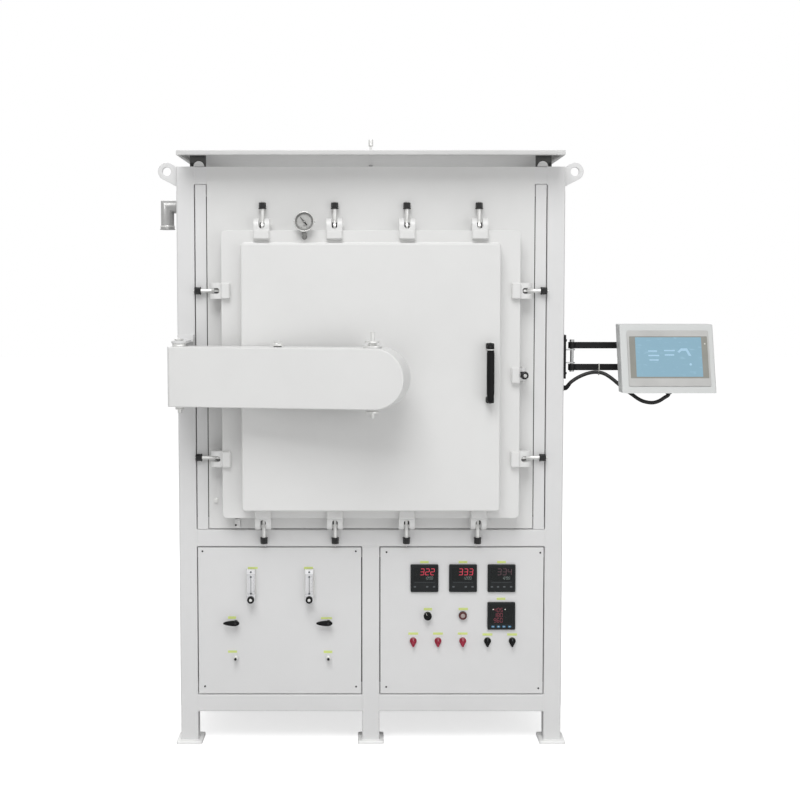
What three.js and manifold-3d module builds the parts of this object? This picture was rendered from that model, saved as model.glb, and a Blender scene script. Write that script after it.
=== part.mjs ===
// Vacuum atmosphere furnace: a free-standing tube-frame cabinet with a front door
// that hangs on a swinging arm and is clamped by swing bolts.
// Millimetres, +X to the right of the front, +Y into the cabinet, +Z up.
// The origin is the underside centre of the front middle foot.
import * as THREE from "three";
import { mergeVertices } from "three/addons/utils/BufferGeometryUtils.js";
import Module from "manifold-3d";

const wasm = await Module();
wasm.setup();

// Driving dimensions of the cabinet
const frameWidth = 1316;
const frameDepth = 1250;
const frameHeight = 1984;
const tube = 60;
const midBeamTop = 747;
const bottomBeamTop = 170;
const sheet = 2;
const seamGap = 3;
const seat = 0.3;
const overrun = 5;

// Driving dimensions of the chamber and its door
const flangeSideMargin = 95.5;
const flangeFloorMargin = 48;
const flangeRoofMargin = 157;
const flangeThick = 30;
const flangeCorner = 16;
const flangeGap = 2;
const flangeSeat = 1;
const vesselSideStep = 52.5;
const vesselLevelStep = 56;
const vesselRearGap = 220;
const vesselWall = 16;
const doorBoxSideStep = 70;
const doorBoxTopStep = 43.5;
const doorBoxBottomStep = 31.5;
const doorBoxProud = 57;
const doorBoxCorner = 10;

// Swing bolt clamps
const boltRadius = 8;
const boltEyeRadius = 14;
const boltEyeThick = 17;
const boltPinRadius = 6;
const nutStart = 57;
const nutLength = 27;
const nutAcrossFlats = 24;
const nutFlangeRadius = 13.5;
const nutFlangeThick = 5;
const boltTip = 90;
const clampOffset = 15;
const clawWidth = 54;
const clawReach = 41;
const clawProud = 8;
const clawNose = 26;
const padInside = 30;
const padProud = 20;
const slotHalfWidth = 10;
const topClampEnd = 136.5;
const sideClampShare = 0.2922;

// Door arm
const armHeight = 197;
const armRise = 2.5;
const armDepth = 130;
const armWall = 8;
const armFlangeWall = 10;
const armHingeInset = 23;
const armHingeStandoff = 149;
const armSkew = 11.5 * (Math.PI / 180);
const armPivotOffset = 5.479;
const armRoundPast = 15.4;
const armLeftReach = 22;
const armLipDepth = 20;
const armBendRadius = 12;
const hingePinRadius = 10;
const pivotPinRadius = 12;

// Terminal on its arm at the right of the cabinet
const terminalWidth = 314;
const terminalTopRise = 172;
const terminalRise = 227;
const terminalDepth = 78;
const terminalStandoff = 70;
const terminalSlope = 19.9 * (Math.PI / 180);
const terminalArmOut = 32;
const terminalArmSetback = 35;
const terminalReach = 301;

// Derived places
const postX = frameWidth / 2 - tube / 2;
const frontFace = -tube / 2;
const rearFace = frontFace + frameDepth;
const rearTubeY = rearFace - tube / 2;
const openingHalfWidth = frameWidth / 2 - tube;
const topBeamBottom = frameHeight - tube;
const midBeamBottom = midBeamTop - tube;
const bottomBeamBottom = bottomBeamTop - tube;
const flangeWidth = 2 * (openingHalfWidth - flangeSideMargin);
const flangeTop = topBeamBottom - flangeRoofMargin;
const flangeBottom = midBeamTop + flangeFloorMargin;
const flangeHeight = flangeTop - flangeBottom;
const chamberCentreZ = (flangeTop + flangeBottom) / 2;
const vesselWidth = flangeWidth - 2 * vesselSideStep;
const vesselHeight = flangeHeight - 2 * vesselLevelStep;
const vesselBack = rearFace - vesselRearGap;
const doorBoxWidth = flangeWidth - 2 * doorBoxSideStep;
const doorBoxHeight = flangeHeight - doorBoxTopStep - doorBoxBottomStep;
const doorBoxCentreZ = chamberCentreZ + (doorBoxBottomStep - doorBoxTopStep) / 2;
const topClampPitch = (flangeWidth - 2 * topClampEnd) / 3;
const sideClampPitch = sideClampShare * flangeHeight;
const chamberFlangeBack = frontFace - flangeSeat;
const chamberFlangeFront = chamberFlangeBack - flangeThick;
const doorBack = chamberFlangeFront - flangeGap;
const doorFront = doorBack - flangeThick;
const doorBoxFront = doorFront - doorBoxProud;
const clampPivotY = (chamberFlangeBack + chamberFlangeFront) / 2;
const armCentreZ = chamberCentreZ + armRise;
const armHingeX = -(frameWidth / 2 - armHingeInset);
const armHingeY = frontFace - armHingeStandoff;
const armPivotReach = (armPivotOffset - armHingeX) / Math.cos(armSkew);
const armRoundReach = armPivotReach + armRoundPast;
const armTop = armCentreZ + armHeight / 2;
const armBottom = armCentreZ - armHeight / 2;
const terminalArmX = frameWidth / 2 + terminalArmOut;
const terminalArmY = frontFace + terminalArmSetback;
const terminalCentreX = terminalArmX + terminalReach;
const terminalTopZ = chamberCentreZ + terminalTopRise;
const terminalTopFrontY = frontFace - terminalStandoff;

// Number of flat sides that stand in for a circle
const fineSides = 16;
const roundSides = 14;
const smallSides = 8;
const repeatSides = 10;
const repeatSmallSides = 8;
const weld = 1e-4;

// Materials
const paint = (color, roughness = 0.42) => ({ color, roughness, metalness: 0 });
const metal = (color, roughness = 0.35) => ({ color, roughness, metalness: 1 });
const finishes = {
  whitePaint: paint(0xdcdcda),
  fasciaPaint: paint(0xd2d2d0),
  doorPaint: paint(0xe0e0df),
  galvanised: metal(0xb9bcbe, 0.5),
  zinc: metal(0xc9cbcc),
  stainless: metal(0xc4c6c8, 0.28),
  blackOxide: paint(0x232323, 0.5),
  blackPlastic: paint(0x202020, 0.45),
  darkRed: paint(0x5a1f1c, 0.4),
  greyPlastic: paint(0x4a4d50, 0.5),
  silverBezel: paint(0xbdbdbd, 0.4),
  rubber: paint(0x2a2a2a, 0.8),
  fibre: paint(0xe9e4d6, 0.95),
  heater: metal(0x6d6a68, 0.6),
  acrylic: paint(0xdfe6e6, 0.1),
};

const furnace = new THREE.Group();

// Adds one named mesh to a group.
function addPart(name, geometry, finish, parent = furnace) {
  const mesh = new THREE.Mesh(geometry, new THREE.MeshStandardMaterial(finishes[finish]));
  mesh.name = name;
  parent.add(mesh);
  return mesh;
}

// Solid with merged vertices, ready to be joined or cut.
function solidOf(geometry) {
  const loose = geometry.index ? geometry.toNonIndexed() : geometry;
  const bare = new THREE.BufferGeometry();
  bare.setAttribute("position", loose.getAttribute("position").clone());
  const merged = mergeVertices(bare, weld);
  const made = new wasm.Mesh({
    numProp: 3,
    vertProperties: merged.attributes.position.array,
    triVerts: new Uint32Array(merged.index.array),
  });
  return new wasm.Manifold(made);
}

function geometryOf(solid) {
  const made = solid.getMesh();
  const geometry = new THREE.BufferGeometry();
  geometry.setAttribute("position", new THREE.BufferAttribute(made.vertProperties.slice(), 3));
  geometry.setIndex(new THREE.BufferAttribute(made.triVerts.slice(), 1));
  geometry.computeVertexNormals();
  return geometry;
}

function join(pieces) {
  let whole = solidOf(pieces[0]);
  for (const piece of pieces.slice(1)) whole = whole.add(solidOf(piece));
  return geometryOf(whole);
}

function cut(body, cutters) {
  let whole = solidOf(body);
  for (const cutter of cutters) whole = whole.subtract(solidOf(cutter));
  return geometryOf(whole);
}

function common(first, second) {
  return geometryOf(solidOf(first).intersect(solidOf(second)));
}

// Box between two places on each axis.
function block([x0, x1], [y0, y1], [z0, z1]) {
  const geometry = new THREE.BoxGeometry(x1 - x0, y1 - y0, z1 - z0);
  return geometry.translate((x0 + x1) / 2, (y0 + y1) / 2, (z0 + z1) / 2);
}

// Range of the given width round a centre.
const around = (centre, width) => [centre - width / 2, centre + width / 2];

// Round bar along an axis, from one place to another, at a place on the other two axes.
function rod(axis, radius, [from, to], [a, b], sides = roundSides) {
  const geometry = new THREE.CylinderGeometry(radius, radius, to - from, sides);
  const middle = (from + to) / 2;
  if (axis === "x") return geometry.rotateZ(-Math.PI / 2).translate(middle, a, b);
  if (axis === "y") return geometry.translate(a, middle, b);
  return geometry.rotateX(Math.PI / 2).translate(a, b, middle);
}

// Hexagonal prism of a given width across flats.
function hexagon(axis, acrossFlats, span, place) {
  return rod(axis, acrossFlats / Math.sqrt(3), span, place, 6);
}

function extrude(shape, depth, curveSegments = 4) {
  return new THREE.ExtrudeGeometry(shape, { depth, bevelEnabled: false, curveSegments, steps: 1 });
}

// Plate that stands upright and faces the front, its outline given in X and Z.
function frontPlate(shape, [front, back], curveSegments) {
  return extrude(shape, back - front, curveSegments).rotateX(Math.PI / 2).translate(0, back, 0);
}

// Plate that lies flat, its outline given in X and Y.
function flatPlate(shape, [bottom, top], curveSegments) {
  return extrude(shape, top - bottom, curveSegments).translate(0, 0, bottom);
}

// Bar along X, its outline given in Y and Z.
function sideProfile(shape, [left, right], curveSegments) {
  const turn = new THREE.Matrix4().makeBasis(
    new THREE.Vector3(0, 1, 0),
    new THREE.Vector3(0, 0, 1),
    new THREE.Vector3(1, 0, 0),
  );
  return extrude(shape, right - left, curveSegments).applyMatrix4(turn).translate(left, 0, 0);
}

function roundedRectangle(width, height, radius, x = 0, y = 0) {
  const shape = new THREE.Shape();
  const right = width / 2 - radius;
  const up = height / 2 - radius;
  shape.absarc(x + right, y + up, radius, 0, Math.PI / 2);
  shape.absarc(x - right, y + up, radius, Math.PI / 2, Math.PI);
  shape.absarc(x - right, y - up, radius, Math.PI, 1.5 * Math.PI);
  shape.absarc(x + right, y - up, radius, 1.5 * Math.PI, 2 * Math.PI);
  return shape;
}

function polygon(points) {
  return new THREE.Shape(points.map(([x, y]) => new THREE.Vector2(x, y)));
}

// Turned piece: radius and height pairs from the axis to the axis, axis along Z.
function turned(profile, [x, y], sides = repeatSides) {
  const points = profile.map(([radius, height]) => new THREE.Vector2(radius, height));
  return new THREE.LatheGeometry(points, sides).rotateX(Math.PI / 2).translate(x, y, 0);
}

// Round tube through corner points, mitred at each corner, closed at both ends.
function mitredTube(points, radius, sides = roundSides) {
  const places = points.map((point) => new THREE.Vector3(...point));
  const legs = places.slice(1).map((place, i) => place.clone().sub(places[i]).normalize());
  const reference = Math.abs(legs[0].z) < 0.9 ? new THREE.Vector3(0, 0, 1) : new THREE.Vector3(1, 0, 0);
  const across = new THREE.Vector3().crossVectors(legs[0], reference).normalize();
  const over = new THREE.Vector3().crossVectors(legs[0], across);
  const positions = [];
  const faces = [];
  places.forEach((place, i) => {
    const before = legs[Math.max(i - 1, 0)];
    const after = legs[Math.min(i, legs.length - 1)];
    const plane = before.clone().add(after).normalize();
    for (let k = 0; k < sides; k += 1) {
      const angle = (2 * Math.PI * k) / sides;
      const spoke = across.clone().multiplyScalar(radius * Math.cos(angle));
      spoke.addScaledVector(over, radius * Math.sin(angle));
      spoke.addScaledVector(before, -spoke.dot(plane) / before.dot(plane));
      positions.push(...place.clone().add(spoke).toArray());
    }
    const turn = new THREE.Quaternion().setFromUnitVectors(before, after);
    across.applyQuaternion(turn);
    over.applyQuaternion(turn);
  });
  for (let i = 0; i < places.length - 1; i += 1) {
    for (let k = 0; k < sides; k += 1) {
      const a = i * sides + k;
      const b = i * sides + ((k + 1) % sides);
      faces.push(a, b, b + sides, a, b + sides, a + sides);
    }
  }
  const last = (places.length - 1) * sides;
  for (let k = 1; k < sides - 1; k += 1) {
    faces.push(0, k + 1, k, last, last + k, last + k + 1);
  }
  const geometry = new THREE.BufferGeometry();
  geometry.setAttribute("position", new THREE.Float32BufferAttribute(positions, 3));
  geometry.setIndex(faces);
  return geometry;
}

// Welded tube frame with legs, feet, lifting lugs, hinge bracket and chamber rails
const footWidth = 90;
const footFront = -54;
const footBack = 66;
const footThick = 12;
const footCorner = 9;
const lugRadius = 30;
const lugHole = 14.5;
const lugOut = 35;
const lugDrop = 15;
const lugRootTop = 5;
const lugRootBottom = 69;
const lugThick = 16;
const railX = vesselWidth / 3;
const stripWidth = 37;
const panelReturn = 18;
const tabSize = 40;
const tabThick = 3;
const hingeLugThick = 8;
const hingeLugHalfWidth = 25.5;
const hingeCollar = 10;
const hingePadThick = 8;
const hingePadDrop = 45;
const gussetRise = 16;
const gussetDepth = 22;

function lug(side, y) {
  const edge = side * (frameWidth / 2 - overrun);
  const centreX = side * (frameWidth / 2 + lugOut);
  const centreZ = frameHeight - lugDrop;
  const root = [
    [edge, frameHeight - lugRootTop],
    [edge, frameHeight - lugRootBottom],
  ];
  // Tangent points of the two straight edges on the round lobe
  const tangents = root.map(([x, z], i) => {
    const dx = x - centreX;
    const dz = z - centreZ;
    const reach = Math.hypot(dx, dz);
    const bearing = Math.atan2(dz, dx);
    const spread = Math.acos(lugRadius / reach);
    const turn = (i === 0 ? -1 : 1) * side * spread;
    return bearing + turn;
  });
  const shape = new THREE.Shape();
  shape.moveTo(root[1][0], root[1][1]);
  shape.lineTo(root[0][0], root[0][1]);
  shape.absarc(centreX, centreZ, lugRadius, tangents[0], tangents[1], side > 0);
  shape.closePath();
  const hole = new THREE.Path();
  hole.absarc(centreX, centreZ, lugHole, 0, 2 * Math.PI);
  shape.holes.push(hole);
  return frontPlate(shape, around(y, lugThick), 5);
}

function hingeBracket() {
  const padX = [-frameWidth / 2, -openingHalfWidth - seamGap];
  const padY = [frontFace - hingePadThick, frontFace + overrun];
  const upper = [armTop + hingeCollar, armTop + hingeCollar + hingeLugThick];
  const lowerBottom = armBottom + armFlangeWall + seat;
  const lower = [lowerBottom, lowerBottom + hingeLugThick];
  const lugOutline = new THREE.Shape();
  lugOutline.moveTo(armHingeX + hingeLugHalfWidth, frontFace - hingePadThick + overrun);
  lugOutline.lineTo(armHingeX - hingeLugHalfWidth, frontFace - hingePadThick + overrun);
  lugOutline.lineTo(armHingeX - hingeLugHalfWidth, armHingeY);
  lugOutline.absarc(armHingeX, armHingeY, hingeLugHalfWidth, Math.PI, 2 * Math.PI);
  const shoulder = new THREE.Shape();
  shoulder.moveTo(padX[1], upper[0]);
  shoulder.lineTo(padX[1], upper[1] + gussetRise);
  shoulder.quadraticCurveTo(armHingeX + hingeLugHalfWidth / 2, upper[1] + gussetRise / 2, armHingeX, upper[1]);
  shoulder.lineTo(armHingeX, upper[0]);
  const pieces = [
    block(padX, padY, [upper[0] - hingePadDrop, upper[1] + gussetRise]),
    block(padX, padY, [lower[0], lower[1] + hingePadDrop]),
    flatPlate(lugOutline, upper),
    flatPlate(lugOutline, lower),
    frontPlate(shoulder, [frontFace - hingePadThick - gussetDepth, frontFace]),
  ];
  const hole = [armHingeX, armHingeY];
  return cut(join(pieces), [
    rod("z", hingePinRadius + 2 * seat, [lower[0] - overrun, upper[1] + overrun], hole),
  ]);
}

// Tabs behind the corners of the three front panels, which the panels' folded edges rest on
function panelTabs() {
  const y = [frontFace + panelReturn + seat, frontFace + panelReturn + seat + tabThick];
  const tabs = [];
  const tab = (fromX, towardX, width, fromZ, towardZ) => {
    const x = [fromX - towardX * overrun, fromX + towardX * width].sort((a, b) => a - b);
    const z = [fromZ - towardZ * overrun, fromZ + towardZ * tabSize].sort((a, b) => a - b);
    tabs.push(block(x, y, z));
  };
  for (const side of [-1, 1]) {
    for (const [z, up] of [[bottomBeamTop, 1], [midBeamBottom, -1]]) {
      tab(side * openingHalfWidth, -side, tabSize, z, up);
      tab((side * tube) / 2, side, tabSize, z, up);
    }
    for (const [z, up] of [[midBeamTop, 1], [topBeamBottom, -1]]) {
      tab(side * openingHalfWidth, -side, stripWidth + tabSize, z, up);
    }
  }
  return tabs;
}

function makeFrame() {
  const pieces = [];
  const legX = [-postX, 0, postX];
  for (const [y, toBack] of [[0, 1], [rearTubeY, -1]]) {
    for (const x of legX) {
      const top = x === 0 ? midBeamTop : frameHeight;
      pieces.push(block(around(x, tube), around(y, tube), [footThick / 2, top]));
      const footY = [y + toBack * footFront, y + toBack * footBack];
      const outline = roundedRectangle(footWidth, footBack - footFront, footCorner, x, (footY[0] + footY[1]) / 2);
      pieces.push(flatPlate(outline, [0, footThick], 1));
    }
    for (const top of [bottomBeamTop, midBeamTop, frameHeight]) {
      pieces.push(block([-postX, postX], around(y, tube), [top - tube, top]));
    }
  }
  for (const x of [-postX, postX]) {
    for (const top of [bottomBeamTop, midBeamTop, frameHeight]) {
      pieces.push(block(around(x, tube), [0, rearTubeY], [top - tube, top]));
    }
  }
  for (const x of [-railX, railX]) {
    pieces.push(block(around(x, tube), [0, rearTubeY], [midBeamBottom, midBeamTop]));
  }
  for (const side of [-1, 1]) {
    const stripOuter = openingHalfWidth - seamGap;
    const stripX = [side * stripOuter, side * (stripOuter - stripWidth)].sort((a, b) => a - b);
    pieces.push(block(stripX, [frontFace, frontFace + sheet], [midBeamBottom + tube / 2, topBeamBottom + tube / 2]));
    for (const y of [0, rearTubeY]) pieces.push(lug(side, y));
  }
  pieces.push(hingeBracket(), ...panelTabs());
  return join(pieces);
}
addPart("frame", makeFrame(), "whitePaint");

// Arm hinge pin with its collar, nut and end stud
const hingeNutHeight = 8;
const hingeNutRadius = 15;
const hingeStudRadius = 6.7;
const hingeStudLength = 17;
const hingeWasherRadius = 14;
const hingeWasherThick = 7;
const hingeCollarRadius = 23;
function makeHingePin() {
  const washerTop = armBottom - seat;
  const washerBottom = washerTop - hingeWasherThick;
  const lugTop = armTop + hingeCollar + hingeLugThick + seat;
  return turned(
    [
      [0, washerBottom - hingeStudLength],
      [hingeStudRadius, washerBottom - hingeStudLength],
      [hingeStudRadius, washerBottom],
      [hingeWasherRadius, washerBottom],
      [hingeWasherRadius, washerTop],
      [hingePinRadius, washerTop],
      [hingePinRadius, armTop + seat],
      [hingeCollarRadius, armTop + seat],
      [hingeCollarRadius, armTop + hingeCollar - seat],
      [hingePinRadius, armTop + hingeCollar - seat],
      [hingePinRadius, lugTop],
      [hingeNutRadius, lugTop],
      [hingeNutRadius, lugTop + hingeNutHeight],
      [0, lugTop + hingeNutHeight],
    ],
    [armHingeX, armHingeY],
  );
}
addPart("arm_hinge_pin", makeHingePin(), "zinc");

// Folded top cover on four standoff blocks
const coverWidth = frameWidth;
const coverOverhang = 6;
const coverDepth = frameDepth + 2 * coverOverhang;
const coverEdge = 17;
const coverLip = 14;
const coverRaise = 38;
const standoffWidth = 51;
const standoffDepth = 40;
const standoffEdge = 45;
const standoffX = frameWidth / 2 - standoffEdge - standoffWidth / 2;
const standoffInset = 12;
const ventRadius = 9;
const ventShare = 0.496;
const ventY = frontFace + ventShare * frameDepth;
function makeCover() {
  const bottom = frameHeight + coverRaise;
  const top = bottom + coverEdge;
  const y = around((frontFace + rearFace) / 2, coverDepth);
  const x = around(0, coverWidth);
  const inset = ([low, high], by) => [low + by, high - by];
  const tray = cut(block(x, y, [bottom, top]), [
    block(inset(x, sheet), inset(y, sheet), [bottom + sheet, top - sheet]),
    block(inset(x, coverLip), inset(y, coverLip), [bottom - overrun, bottom + 2 * sheet]),
    rod("z", ventRadius + 2, [bottom, top + overrun], [0, ventY]),
  ]);
  const pieces = [tray];
  for (const side of [-1, 1]) {
    for (const cornerY of [frontFace + standoffInset, rearFace - standoffInset]) {
      const towardMiddle = cornerY < rearTubeY / 2 ? 1 : -1;
      const depth = [cornerY, cornerY + towardMiddle * standoffDepth].sort((a, b) => a - b);
      pieces.push(
        block(around(side * standoffX, standoffWidth), depth, [frameHeight + seat, top - sheet / 2]),
      );
    }
  }
  return join(pieces);
}
addPart("top_cover", makeCover(), "whitePaint");

// Relief valve on a riser from the chamber roof, through the top cover
const reliefBossRadius = 22;
const reliefBossHeight = 14;
const reliefProud = 95;
const reliefHexFlats = 30;
const reliefHexHeight = 24;
const reliefCapRadius = 9.5;
const reliefRiserRadius = 7;
function makeRelief() {
  const roof = chamberCentreZ + vesselHeight / 2 + seat;
  const coverTop = frameHeight + coverRaise + coverEdge;
  const hexBottom = coverTop + reliefHexHeight;
  const capTop = coverTop + reliefProud;
  return join([
    rod("z", reliefBossRadius, [roof, roof + reliefBossHeight], [0, ventY]),
    rod("z", reliefRiserRadius, [roof + reliefBossHeight / 2, capTop - reliefHexHeight], [0, ventY], smallSides),
    hexagon("z", reliefHexFlats / 2, [hexBottom, hexBottom + reliefHexHeight / 2], [0, ventY]),
    rod("z", reliefCapRadius, [hexBottom + reliefHexHeight, capTop], [0, ventY]),
  ]);
}
addPart("relief_valve", makeRelief(), "stainless");

// Sheet panel with folded edges, open at the back
function foldedPanel(width, height, x, z, front, returnDepth, radius) {
  const outline = roundedRectangle(width, height, radius, x, z);
  const inner = roundedRectangle(width - 2 * sheet, height - 2 * sheet, radius, x, z);
  return cut(frontPlate(outline, [front, front + returnDepth], 1), [
    frontPlate(inner, [front + sheet, front + returnDepth + overrun], 1),
  ]);
}

// Fascia round the chamber mouth
const fasciaCorner = 3;
const vesselClearance = 4;
const fasciaWidth = 2 * (openingHalfWidth - 2 * seamGap - stripWidth);
function makeFascia() {
  const height = topBeamBottom - midBeamTop - 2 * seamGap;
  const centreZ = (topBeamBottom + midBeamTop) / 2;
  const panel = foldedPanel(fasciaWidth, height, 0, centreZ, frontFace, panelReturn, fasciaCorner);
  return cut(panel, [
    block(
      around(0, vesselWidth + 2 * vesselClearance),
      [frontFace - overrun, frontFace + panelReturn],
      around(chamberCentreZ, vesselHeight + 2 * vesselClearance),
    ),
  ]);
}
addPart("front_fascia", makeFascia(), "fasciaPaint");

// Side and rear covers, screwed over the frame
const coverOverlap = 15;
const sideCoverDrop = 19;
const sideCoverTop = topBeamBottom - sideCoverDrop;
const elbowSetback = 180;
const elbowY = frontFace + elbowSetback;
const elbowBelowBeam = 66;
const elbowZ = topBeamBottom - elbowBelowBeam;
const elbowRadius = 23;
const elbowOut = 54;
const elbowDropX = -(frameWidth / 2 + elbowOut);
const elbowDrop = 66;
const elbowBottomZ = elbowZ - elbowDrop;
const cableEntryDrop = 221;
const cableEntryZ = terminalTopZ - cableEntryDrop;
const glandRadius = 10;
const glandProud = 5;
const louvreRows = 7;
const louvrePitch = 34;
const louvreLength = 300;
const louvreHeight = 8;

function sideCover(side) {
  const x = [side * (frameWidth / 2 + seat), side * (frameWidth / 2 + seat + sheet)].sort((a, b) => a - b);
  const y = [frontFace + coverOverlap, rearFace - coverOverlap];
  const body = block(x, y, [bottomBeamBottom + coverOverlap, sideCoverTop]);
  if (side > 0) {
    return join([body, rod("x", glandRadius, [x[0] + sheet / 2, x[1] + glandProud], [terminalArmY, cableEntryZ])]);
  }
  return cut(body, [rod("x", elbowRadius + 2, [x[0] - overrun, x[1] + overrun], [elbowY, elbowZ])]);
}
addPart("left_side_panel", sideCover(-1), "whitePaint");
addPart("right_side_panel", sideCover(1), "whitePaint");

function makeRearCover() {
  const y = [rearFace + seat, rearFace + seat + sheet];
  const body = block(around(0, frameWidth - 2 * coverOverlap), y, [bottomBeamBottom + coverOverlap, sideCoverTop]);
  const cutters = [];
  for (const x of [-railX, railX]) {
    for (let row = 0; row < louvreRows; row += 1) {
      const z = bottomBeamTop + 4 * louvrePitch + row * louvrePitch;
      cutters.push(block(around(x, louvreLength), [y[0] - overrun, y[1] + overrun], around(z, louvreHeight)));
    }
  }
  return cut(body, cutters);
}
addPart("rear_panel", makeRearCover(), "whitePaint");

// Vacuum elbow from the chamber roof, over and down the left side, with its clamp flange
const elbowFlangeRadius = 27.5;
const elbowFlangeHeight = 14;
const elbowRootInset = 130;
const elbowRootX = -(vesselWidth / 2 - elbowRootInset);
function makeElbow() {
  const roof = chamberCentreZ + vesselHeight / 2 + seat;
  const pipe = mitredTube(
    [
      [elbowRootX, elbowY, roof],
      [elbowRootX, elbowY, elbowZ],
      [elbowDropX, elbowY, elbowZ],
      [elbowDropX, elbowY, elbowBottomZ],
    ],
    elbowRadius,
  );
  const flangeZ = [elbowBottomZ - elbowFlangeHeight, elbowBottomZ + seat];
  const foot = rod("z", elbowFlangeRadius + elbowFlangeHeight, [roof, roof + elbowFlangeHeight], [elbowRootX, elbowY]);
  const bore = rod("z", elbowRadius - 2 * sheet, [flangeZ[0] - overrun, elbowBottomZ + elbowRadius], [elbowDropX, elbowY]);
  return cut(join([pipe, rod("z", elbowFlangeRadius, flangeZ, [elbowDropX, elbowY]), foot]), [bore]);
}
addPart("exhaust_elbow", makeElbow(), "whitePaint");

// Clamp stations round the flange: side turn, place along the edge, name, fork present
const quarter = Math.PI / 2;
const sideRow = [sideClampPitch, 0, -sideClampPitch];
const topRow = [-1.5, -0.5, 0.5, 1.5].map((share) => share * topClampPitch);
const clamps = [];
topRow.forEach((along, i) => {
  clamps.push({ name: `top_${i + 1}`, turn: 0, along, edge: flangeHeight / 2 });
  clamps.push({ name: `bottom_${i + 1}`, turn: 2 * quarter, along: -along, edge: flangeHeight / 2 });
});
sideRow.forEach((up, i) => {
  clamps.push({ name: `left_${i + 1}`, turn: -quarter, along: up, edge: flangeWidth / 2 });
  clamps.push({ name: `right_${i + 1}`, turn: quarter, along: -up, edge: flangeWidth / 2 });
});
const facingClamp = "right_2";

// Places a piece that was built at the middle of the top edge, Z outwards, at its station.
function atStation(geometry, { turn, along, edge }) {
  return geometry.translate(along, 0, edge).rotateY(turn).translate(0, 0, chamberCentreZ);
}

// Chamber: water-jacketed vessel with its front flange, seal groove and bolt clevises
const earThick = 13;
const earGap = 20;
const earInset = 6;
const pinHead = 4;
const grooveWidth = 9;
const grooveDepth = 6;
const sealWidth = 8.2;
const sealInset = 34;
const sealCorner = 24;
const saddleSetback = 250;
const saddleRearGap = 100;
const saddleY = [frontFace + saddleSetback, vesselBack - saddleRearGap];
const saddleWidth = 56;

function clevis() {
  const pieces = [];
  const profile = new THREE.Shape();
  profile.moveTo(chamberFlangeFront + earInset, -overrun);
  profile.lineTo(chamberFlangeFront + earInset, clampOffset);
  profile.absarc(clampPivotY, clampOffset, flangeThick / 2 - earInset, Math.PI, 0, true);
  profile.lineTo(chamberFlangeBack - earInset, -overrun);
  for (const side of [-1, 1]) {
    const inner = (side * earGap) / 2;
    const span = [inner, inner + side * earThick].sort((a, b) => a - b);
    pieces.push(sideProfile(profile, span, 2));
  }
  const pinEnd = earGap / 2 + earThick + pinHead;
  const pin = [-pinEnd + pinHead, pinEnd];
  pieces.push(rod("x", boltPinRadius, pin, [clampPivotY, clampOffset], repeatSmallSides));
  return join(pieces);
}

function sealRing(width, depth, corner) {
  const outerWidth = flangeWidth - 2 * sealInset + width;
  const outerHeight = flangeHeight - 2 * sealInset - 4 * grooveWidth + width;
  const outer = roundedRectangle(outerWidth, outerHeight, corner, 0, chamberCentreZ);
  const inner = roundedRectangle(outerWidth - 2 * width, outerHeight - 2 * width, corner - width, 0, chamberCentreZ);
  const past = [depth[0] - overrun, depth[1] + overrun];
  return cut(frontPlate(outer, depth, 2), [frontPlate(inner, past, 2)]);
}

function makeChamber() {
  const flange = frontPlate(
    roundedRectangle(flangeWidth, flangeHeight, flangeCorner, 0, chamberCentreZ),
    [chamberFlangeFront, chamberFlangeBack],
    2,
  );
  const body = block(around(0, vesselWidth), [chamberFlangeBack - overrun, vesselBack], around(chamberCentreZ, vesselHeight));
  const mouth = block(
    around(0, vesselWidth - 2 * vesselWall),
    [chamberFlangeFront - overrun, vesselBack - vesselWall],
    around(chamberCentreZ, vesselHeight - 2 * vesselWall),
  );
  const pieces = [flange, body];
  const floor = chamberCentreZ - vesselHeight / 2;
  for (const x of [-railX, railX]) {
    pieces.push(block(around(x, saddleWidth), saddleY, [midBeamTop + seat, floor + overrun]));
  }
  for (const station of clamps) pieces.push(atStation(clevis(), station));
  const grooveCorner = sealCorner + (grooveWidth - sealWidth) / 2;
  const groove = sealRing(grooveWidth, [chamberFlangeFront - overrun, chamberFlangeFront + grooveDepth], grooveCorner);
  return cut(join(pieces), [mouth, groove]);
}
addPart("chamber_shell", makeChamber(), "whitePaint");

const sealDepth = [doorBack + seat, chamberFlangeFront + grooveDepth - seat];
addPart("door_seal", sealRing(sealWidth, sealDepth, sealCorner), "rubber");

// Fibre lining with a hot zone, and two heater banks that hang from its roof
const liningSetback = 5;
const liningFront = chamberFlangeBack + liningSetback;
const liningWall = 110;
const liningClearance = 0.3;
const heaterRadius = 7;
const heaterWallGap = 26;
const heaterLegs = 6;
const heaterSides = 6;
const heaterSetback = 226;
const heaterRearGap = 73.7;
const heaterEndGap = 60;
const terminalRun = 70;
const hotWidth = vesselWidth - 2 * (vesselWall + liningClearance + liningWall);
const hotHeight = vesselHeight - 2 * (vesselWall + liningClearance + liningWall);
const hotBack = vesselBack - vesselWall - liningClearance - liningWall;
const heaterFirstY = liningFront + heaterSetback;
const heaterLegPitch = (hotBack - heaterRearGap - heaterFirstY) / (heaterLegs - 1);
const hearthHeight = 14;
const hearthSlot = 24;

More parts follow.
